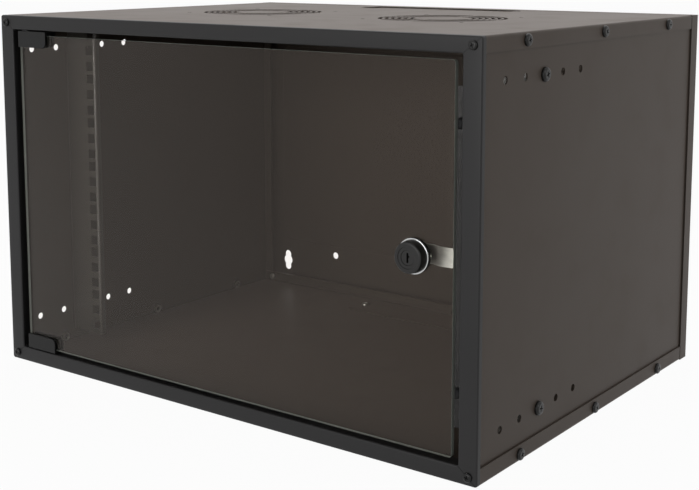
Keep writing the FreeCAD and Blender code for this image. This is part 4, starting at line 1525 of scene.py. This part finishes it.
@dataclass
class CapPanel(Sheet):
    """Top or bottom panel: a plate with side flanges and folded front and rear edges."""

    node: str = "top_panel"
    cover: str = "top_cable_cover"
    upwards: float = 1.0
    screws: tuple[str, str] = ("top_flange_screws", "top_cover_screws")
    vents: tuple[float, ...] = (-108.0 * MM, 108.0 * MM)
    vent_setback: float = 200.0 * MM
    front_lip: float = 9.8 * MM
    rear_lip: float = 12.0 * MM
    rear_joint: float = 1.2 * MM
    entry_length: float = 180.0 * MM
    entry_width: float = 38.0 * MM
    entry_inset: float = 25.0 * MM
    entry_corner: float = 3.0 * MM

    def build(self) -> None:
        """Fold, drill and punch the panel, and trim its entry's cover."""
        low, high = box_of(self.node)
        panel = self.trough(f"folded_{self.node}", (low, high), Axis.Z, self.upwards)
        face = high.z if self.upwards > 0 else low.z
        self.trim_lips(panel, low, high, face)
        self.punch(panel, face)
        self.finish(panel, self.node)
        cover = Workpiece.from_node(f"trimmed_{self.cover}", self.cover)
        cover.soften(self.edge).smooth().stand_for(self.cover)

    def trim_lips(self, panel: Workpiece, low: Vector, high: Vector, face: float) -> None:
        """Shorten the front and rear walls to lips that stop short of the corners.

        Args:
            panel: the folded panel.
            low: its lowest corner.
            high: its highest corner.
            face: z of its outer face.
        """
        tip = (low.z if self.upwards > 0 else high.z) - PAST * self.upwards
        root = face - self.bend * self.upwards
        inner = high.x - self.thick
        tools = []
        for y, depth in ((low.y, self.front_lip), (high.y, self.rear_lip)):
            before, behind = y - 2 * MM, y + 2 * MM
            edge = face - depth * self.upwards
            tools.append(Workpiece.block("lip", (-inner, before, edge), (inner, behind, tip)))
            for x in (-inner, inner):
                end = x - math.copysign(self.bend, x)
                tools.append(Workpiece.block("relief", (x, before, root), (end, behind, tip)))
        for x in (-inner, inner):
            end = x + math.copysign(3 * MM, x)
            gap = (high.y - self.rear_joint, high.y + PAST)
            tools.append(Workpiece.block("joint", (x, gap[0], root), (end, gap[1], tip)))
        panel.cut(*tools)

    def punch(self, panel: Workpiece, face: float) -> None:
        """Cut the vents, the cable entry and the screws' holes.

        Args:
            panel: the folded panel.
            face: z of its outer face.
        """
        front = box_of("front_frame")[0].y
        back = box_of("back_panel")[1].y
        half, rear = self.entry_length / 2, back - self.entry_inset
        front_end = rear - self.entry_width
        slot = Workpiece.block("entry", (-half, front_end, face - 4 * MM), (half, rear, face + 4 * MM))
        slot.bevel_edges(self.entry_corner, 4, along(Axis.Z))
        flange_row, cover_row = self.screws
        tools = [
            slot,
            drills_for(flange_row, sideways, self.m5_hole),
            drills_for(cover_row, level_inwards, self.m4_hole),
            drills_for("front_frame_screws", forwards, self.m4_hole),
            drills_for("back_panel_screws", forwards, self.m4_hole),
        ]
        for x in self.vents:
            tools.append(FanVent().cutter(Vector((x, front + self.vent_setback, face)), 3 * MM))
        panel.cut(*tools)


@dataclass
class SidePanel(Sheet):
    """Side panel: a plate with folded front and rear edges and two rows of round holes."""

    node: str = "left_side_panel"
    side: float = -1.0
    fold_end: float = 14.3 * MM
    open_end: float = 1.2
    row_first: float = 36.0 * MM
    row_pitch: float = 30.8 * MM
    row_inset: float = 35.0 * MM
    row_holes: int = 5
    rear_bend: float = 1.0 * MM

    def bent_edges(self, axis: int, place: float, rear: float) -> EdgeTest:
        """Return a test for the edges that become bends, without the rear one, which is tighter."""
        whole, last = super().bent_edges(axis, place, rear), around(Axis.Y, rear)
        return lambda a, b: whole(a, b) and not last(a, b)

    def build(self) -> None:
        """Fold and drill the panel."""
        low, high = box_of(self.node)
        bottom, top = self.fold_end, low.z + high.z - self.fold_end
        folded = (Vector((low.x, low.y, bottom)), Vector((high.x, high.y, top)))
        panel = self.trough(f"folded_{self.node}", folded, Axis.X, self.side)
        outer, inner = (high.x, low.x) if self.side > 0 else (low.x, high.x)
        skin = outer - self.thick * self.side
        wall = self.thick * self.open_end
        near = (skin, low.y + wall, bottom - PAST)
        panel.cut(Workpiece.block("open ends", near, (inner - PAST * self.side, high.y - wall, top + PAST)))
        rear, plane = around(Axis.Y, high.y), around(Axis.X, outer)
        panel.bevel_edges(self.rear_bend, 3, lambda a, b: rear(a, b) and plane(a, b))
        far = (outer, high.y - self.rear_bend, high.z)
        panel.weld(Workpiece.block("plate", (skin, low.y + self.bend, low.z), far))
        panel.cut(
            self.row_drills(low, high),
            drills_for("top_flange_screws", sideways, self.m5_hole),
            drills_for("bottom_flange_screws", sideways, self.m5_hole),
        )
        self.finish(panel, self.node)

    def row_drills(self, low: Vector, high: Vector) -> Workpiece:
        """Make the drills of both rows of holes.

        Args:
            low: the panel's lowest corner.
            high: its highest corner.

        Returns:
            All the drills as one object.
        """
        first = box_of("front_frame")[0].y + self.row_first
        x = high.x if self.side > 0 else low.x
        drills = []
        for hole in range(self.row_holes):
            for z in (self.row_inset, low.z + high.z - self.row_inset):
                drill = Workpiece.rod("drill", self.m6_hole, -5 * MM, 5 * MM, 36)
                drills.append(drill.seat((x, first + self.row_pitch * hole, z), (1, 0, 0)))
        return Workpiece.joined("drills", drills)


@dataclass
class BackPanel(Sheet):
    """Back panel: a tray with a pressed field, keyholes and wall fixing holes."""

    rim: float = 12.0 * MM
    press: float = 0.8 * MM
    press_side: float = 20.0 * MM
    press_end: float = 52.5 * MM
    press_corner: float = 9.0 * MM
    press_slope: float = 0.9
    wall_spread: float = 171.0 * MM
    wall_inset: float = 41.0 * MM
    wall_hole: float = 4.0 * MM
    keyhole_spread: float = 244.5 * MM
    keyhole_inset: float = 25.75 * MM
    keyhole_length: float = 24.0 * MM
    keyhole_slot: float = 4.5 * MM
    keyhole_bulge: float = 6.5 * MM

    def build(self) -> None:
        """Fold, press and punch the panel."""
        low, high = box_of("back_panel")
        panel = self.trough("folded_back_panel", (low, high), Axis.Y, 1.0)
        half = self.thick / 2
        flange = self.slab("inner return", (low, high), half, (low.y, low.y + self.thick))
        flange.cut(self.slab("mouth", (low, high), self.rim, (low.y - PAST, low.y + 3 * MM)))
        inside = (high.y - self.thick - self.press, high.y - half)
        panel.weld(flange, self.field((low, high), 0.0, inside))
        panel.cut(self.field((low, high), self.thick, (high.y - self.press, high.y + PAST)))
        panel.cut(drills_for("back_panel_screws", forwards, self.m4_hole), *self.wall_cutters(high))
        self.finish(panel, "back_panel")

    def slab(self, name: str, box: Box, side: float, depth: Span, end: float = 0.0) -> Workpiece:
        """Make a block that stands inside the panel's outline.

        Args:
            name: the object's name.
            box: the panel's lowest and highest corner.
            side: how far inside the left and right it stays.
            depth: y of its front and of its rear.
            end: how far inside the bottom and top it stays, if not as at the sides.

        Returns:
            The block.
        """
        low, high = box
        end = end or side
        near = Vector((low.x + side, depth[0], low.z + end))
        return Workpiece.block(name, near, Vector((high.x - side, depth[1], high.z - end)))

    def field(self, box: Box, inset: float, depth: Span) -> Workpiece:
        """Make the block of the pressed field, sloped at its sides.

        Args:
            box: the panel's lowest and highest corner.
            inset: how far the block stays inside the field's outline.
            depth: y of its front and of its rear.

        Returns:
            The block.
        """
        block = self.slab("field", box, self.press_side + inset, depth, self.press_end + inset)
        block.bevel_edges(self.press_corner, 6, along(Axis.Y))
        return block.bevel_edges(self.press * self.press_slope, 3, around(Axis.Y, depth[0]))

    def wall_cutters(self, high: Vector) -> list[Workpiece]:
        """Make the cutters of the round wall holes and of the keyholes.

        Args:
            high: the panel's highest corner.

        Returns:
            The cutters.
        """
        kinds = (
            (self.wall_spread, self.wall_inset, self.wall_drill),
            (self.keyhole_spread, self.keyhole_inset, self.keyhole_cutter),
        )
        cutters = []
        for spread, inset, cutter in kinds:
            for z in (inset, high.z - inset):
                for x in (-spread, spread):
                    cutters.append(cutter().seat((x, high.y, z), (0, 1, 0)))
        return cutters

    def wall_drill(self) -> Workpiece:
        """Make the drill of one round wall hole."""
        return Workpiece.rod("wall_drill", self.wall_hole, -4 * MM, 4 * MM, 40)

    def keyhole_cutter(self) -> Workpiece:
        """Make the cutter of one keyhole.

        Returns:
            The cutter: a long slot with a bulge in its middle.
        """
        half, deep = self.keyhole_slot, 4 * MM
        reach = self.keyhole_length / 2 - half
        cutter = Workpiece.block("slot", (-half, -reach, -deep), (half, reach, deep))
        for y, radius in ((-reach, half), (reach, half), (0.0, self.keyhole_bulge)):
            cutter.weld(Workpiece.rod("round", radius, -deep, deep, 40, (0, y, 0)))
        return cutter


@dataclass
class FrontFrame(Sheet):
    """Front frame: mitred channels round the door's opening, with the lock's keeper strip."""

    thick: float = 1.5 * MM
    side: float = 17.0 * MM
    top: float = 13.5 * MM
    bottom: float = 14.0 * MM
    corner: float = 2.2 * MM
    inner_corner: float = 1.3 * MM
    opening_corner: float = 1.2 * MM
    fold: float = 1.4 * MM
    channel: float = 5.0 * MM
    mitre_width: float = 0.3 * MM
    mitre_depth: float = 0.35 * MM
    keeper_width: float = 12.5 * MM
    keeper_end: float = 25.0 * MM
    keeper_corner: float = 2.5 * MM
    bush_hole: float = 3.5 * MM

    def build(self) -> None:
        """Fold, weld, drill and mitre the frame."""
        low, high = box_of("front_frame")
        front, deep, half = low.y, high.y, self.thick / 2
        opening = (
            Vector((low.x + self.side, front, low.z + self.bottom)),
            Vector((high.x - self.side, deep, high.z - self.top)),
        )
        left, _, floor = opening[0]
        right, _, roof = opening[1]
        frame = self.outer_channel(low, high)
        near = (left - self.thick, front + half, floor - self.thick)
        frame.weld(Workpiece.block("inner channel", near, (right + self.thick, deep, roof + self.thick)))
        mouth = Workpiece.block("opening", (left, front - PAST, floor), (right, deep + PAST, roof))
        frame.cut(mouth.bevel_edges(self.opening_corner, 3, along(Axis.Y)))
        frame.bevel_edges(self.fold, 3, self.mouth_edges(opening))
        near = (right - self.keeper_width, deep - self.thick, floor + self.keeper_end)
        keeper = Workpiece.block("keeper", near, (right + half, deep, roof - self.keeper_end))
        edges = along(Axis.Y)
        keeper.bevel_edges(self.keeper_corner, 4, lambda a, b: edges(a, b) and a.x < right - 5 * MM)
        frame.weld(keeper)
        frame.cut(*self.cutters(front, left, right, floor, roof))
        self.finish(frame, "front_frame")

    def outer_channel(self, low: Vector, high: Vector) -> Workpiece:
        """Fold the frame's face and its outer rim.

        Args:
            low: the frame's lowest corner.
            high: its highest corner.

        Returns:
            The channel, still closed in front.
        """
        front, skin = low.y, self.thick
        shell = Workpiece.block("mitred_front_frame", low, (high.x, front + self.channel, high.z))
        shell.bevel_edges(self.corner, 4, along(Axis.Y))
        shell.bevel_edges(self.fold, 3, around(Axis.Y, front))
        near = (low.x + skin, front + skin, low.z + skin)
        hollow = Workpiece.block("hollow", near, (high.x - skin, front + 9 * MM, high.z - skin))
        return shell.cut(hollow.bevel_edges(self.inner_corner, 3, along(Axis.Y)))

    def mouth_edges(self, opening: Box, slack: float = 0.02 * MM) -> EdgeTest:
        """Find the edges of the opening on the frame's face.

        Args:
            opening: the opening's lowest and highest corner.
            slack: how far outside them an edge may still lie.

        Returns:
            A test on the two ends of an edge.
        """
        low, high = opening
        face = around(Axis.Y, low.y)

        def inside(place: Vector) -> bool:
            """Tell whether a place is within the opening's outline."""
            return all(low[i] - slack < place[i] < high[i] + slack for i in (Axis.X, Axis.Z))

        return lambda a, b: face(a, b) and inside(a) and inside(b)

    def cutters(self, front: float, left: float, right: float, floor: float, roof: float) -> list[Workpiece]:
        """Make the cutters of the holes and of the mitre joints.

        Args:
            front: y of the frame's face.
            left: x of the opening's left side.
            right: x of its right side.
            floor: z of its lower side.
            roof: z of its upper side.

        Returns:
            The cutters.
        """
        tools = [drills_for("front_frame_screws", forwards, self.m4_hole)]
        for end, place in (("lower", floor), ("upper", roof)):
            centre = middle_of(box_of(f"{end}_hinge_pin"))
            at = (centre.x, centre.y, place)
            tools.append(Workpiece.rod("bush_drill", self.bush_hole, -3 * MM, 3 * MM, 32, at))
        half = right + self.side
        for z, far in ((roof, roof + self.top), (floor, floor - self.bottom)):
            for x, edge in ((left, -half), (right, half)):
                tools.append(self.mitre_cutter(front, (x, z), (edge, far)))
        return tools

    def mitre_cutter(self, front: float, near: Place, far: Place) -> Workpiece:
        """Make the cutter of one mitre's fine groove.

        Args:
            front: the frame's face.
            near: x and z of the opening's corner.
            far: x and z of the frame's corner.

        Returns:
            The cutter.
        """
        half, depth = self.mitre_width / 2, self.mitre_depth
        run = Vector((far[0] - near[0], 0.0, far[1] - near[1]))
        groove = Workpiece.block("mitre", (-half, -depth, -run.length), (half, depth, run.length))
        return groove.seat((near[0], front, near[1]), tuple(run.normalized()))


@dataclass
class Housing:
    """The folded sheets of the cabinet and its rack rails."""

    rail_edge: float = 0.35 * MM

    def build(self) -> None:
        """Model every sheet."""
        FrontFrame().build()
        CapPanel().build()
        CapPanel(
            node="bottom_panel",
            cover="bottom_cable_cover",
            upwards=-1.0,
            screws=("bottom_flange_screws", "bottom_cover_screws"),
            vents=(),
        ).build()
        for node, side in (("left_side_panel", -1.0), ("right_side_panel", 1.0)):
            SidePanel(node=node, side=side).build()
        BackPanel().build()
        for node in ("left_rail", "right_rail"):
            rail = Workpiece.from_node(f"pressed_{node}", node)
            rail.soften(self.rail_edge, 3, 40).smooth().stand_for(node)


# --------------------------------------------------------------------------- studio


@dataclass(frozen=True)
class Softbox:
    """One square soft lamp."""

    name: str
    at: Point
    aim: Point
    size: float
    power: float

    def hang(self) -> None:
        """Hang the lamp at its place, facing its aim."""
        light = bpy.data.lights.new(self.name, "AREA")
        light.size = self.size
        light.energy = self.power
        hung = bpy.data.objects.new(self.name, light)
        hung.location = self.at
        hung.rotation_euler = (Vector(self.aim) - Vector(self.at)).to_track_quat("-Z", "Y").to_euler()
        bpy.context.scene.collection.objects.link(hung)


@dataclass
class Studio:
    """Camera, floor, background and lamps."""

    eye: Point = (0.7477, -1.0023, 0.4007)
    forward: Point = (-0.59144, 0.79456, -0.13741)
    lens: float = 66.48
    shift_y: float = -0.16084
    air: Colour = (1.0, 0.99, 0.97)
    air_strength: float = 0.16
    floor_glow: float = 0.96
    lamps: tuple[Softbox, ...] = (
        Softbox("front_softbox", (-0.25, -2.9, 0.3), (0.0, 0.0, 0.2), 1.6, 42.0),
        Softbox("side_softbox", (2.8, -0.3, 1.6), (0.0, 0.0, 0.15), 1.5, 15.0),
        Softbox("top_softbox", (-0.3, 0.5, 2.6), (0.0, 0.0, 0.3), 1.8, 15.0),
    )

    def build(self) -> None:
        """Set up everything round the object."""
        self.build_camera()
        self.build_world()
        self.build_floor()
        for lamp in self.lamps:
            lamp.hang()

    def build_camera(self) -> None:
        """Put the camera at its place."""
        lens = bpy.data.cameras.new("camera")
        lens.lens = self.lens
        lens.sensor_width = 36.0
        lens.shift_y = self.shift_y
        lens.clip_start = 0.01
        lens.clip_end = 100.0
        camera = bpy.data.objects.new("camera", lens)
        camera.location = self.eye
        camera.rotation_euler = Vector(self.forward).to_track_quat("-Z", "Y").to_euler()
        bpy.context.scene.collection.objects.link(camera)
        bpy.context.scene.camera = camera

    def build_world(self) -> None:
        """Make the air white where it is seen, and give it a soft light elsewhere."""
        world = bpy.data.worlds.new("studio")
        world.use_nodes = True
        bpy.context.scene.world = world
        paint = Paint.of_tree(world.node_tree)
        white = paint.node("ShaderNodeBackground", {}, {"Color": (1.0, 1.0, 1.0, 1.0), "Strength": 1.0})
        values = {"Color": (*self.air, 1.0), "Strength": self.air_strength}
        light = paint.node("ShaderNodeBackground", {}, values)
        mixed = paint.mix(self.seen(paint), light, white)
        paint.node("ShaderNodeOutputWorld", {}, {"Surface": mixed.outputs[0]})

    def seen(self, paint: Paint) -> Signal:
        """Tell the rays that see the background from those that light the object.

        Args:
            paint: the material or the air that the answer is for.

        Returns:
            1 for the camera's rays and for those that come off or through something, else 0.
        """
        rays = paint.node("ShaderNodeLightPath", {}, {}).outputs
        names = ("Is Camera Ray", "Is Glossy Ray", "Is Transmission Ray")
        camera, glossy, transmission = (Signal(paint, rays[name]) for name in names)
        return camera.larger(glossy).larger(transmission)

    def build_floor(self) -> None:
        """Lay a pale floor that keeps the object's shadow."""
        rest_tools()
        bpy.ops.mesh.primitive_plane_add(size=30.0, location=(0, 0, -0.5 * MM))
        floor = bpy.context.active_object
        floor.name = "floor"
        bpy.ops.object.transform_apply(location=True, rotation=True, scale=True)
        paint = Paint("pale_floor")
        values = {"Base Color": (0.9, 0.9, 0.9, 1.0), "Roughness": 0.8, "Specular IOR Level": 0.2}
        base = paint.node("ShaderNodeBsdfPrincipled", {}, values)
        glow = paint.node("ShaderNodeEmission", {}, {"Color": (1.0, 1.0, 1.0, 1.0), "Strength": 1.0})
        floor.data.materials.append(paint.finish(paint.mix(self.seen(paint) * self.floor_glow, base, glow)))


def dress_packed_nodes() -> None:
    """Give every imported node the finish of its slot."""
    for name, thing in frame["nodes"].items():
        WARDROBE.dress(thing, Finish[SLOT_OF[name]])
        log.info("%s keeps its packed shape or is replaced, finish %s", name, SLOT_OF[name])


def main() -> None:
    """Build the scene."""
    logging.basicConfig(level=logging.INFO, format="%(name)s: %(message)s")
    Studio().build()
    dress_packed_nodes()
    for assembly in (Housing(), Fasteners(), CamLock(), GlassDoor()):
        assembly.build()
    bpy.context.scene.view_settings.view_transform = "Standard"


if __name__ == "__main__":
    main()
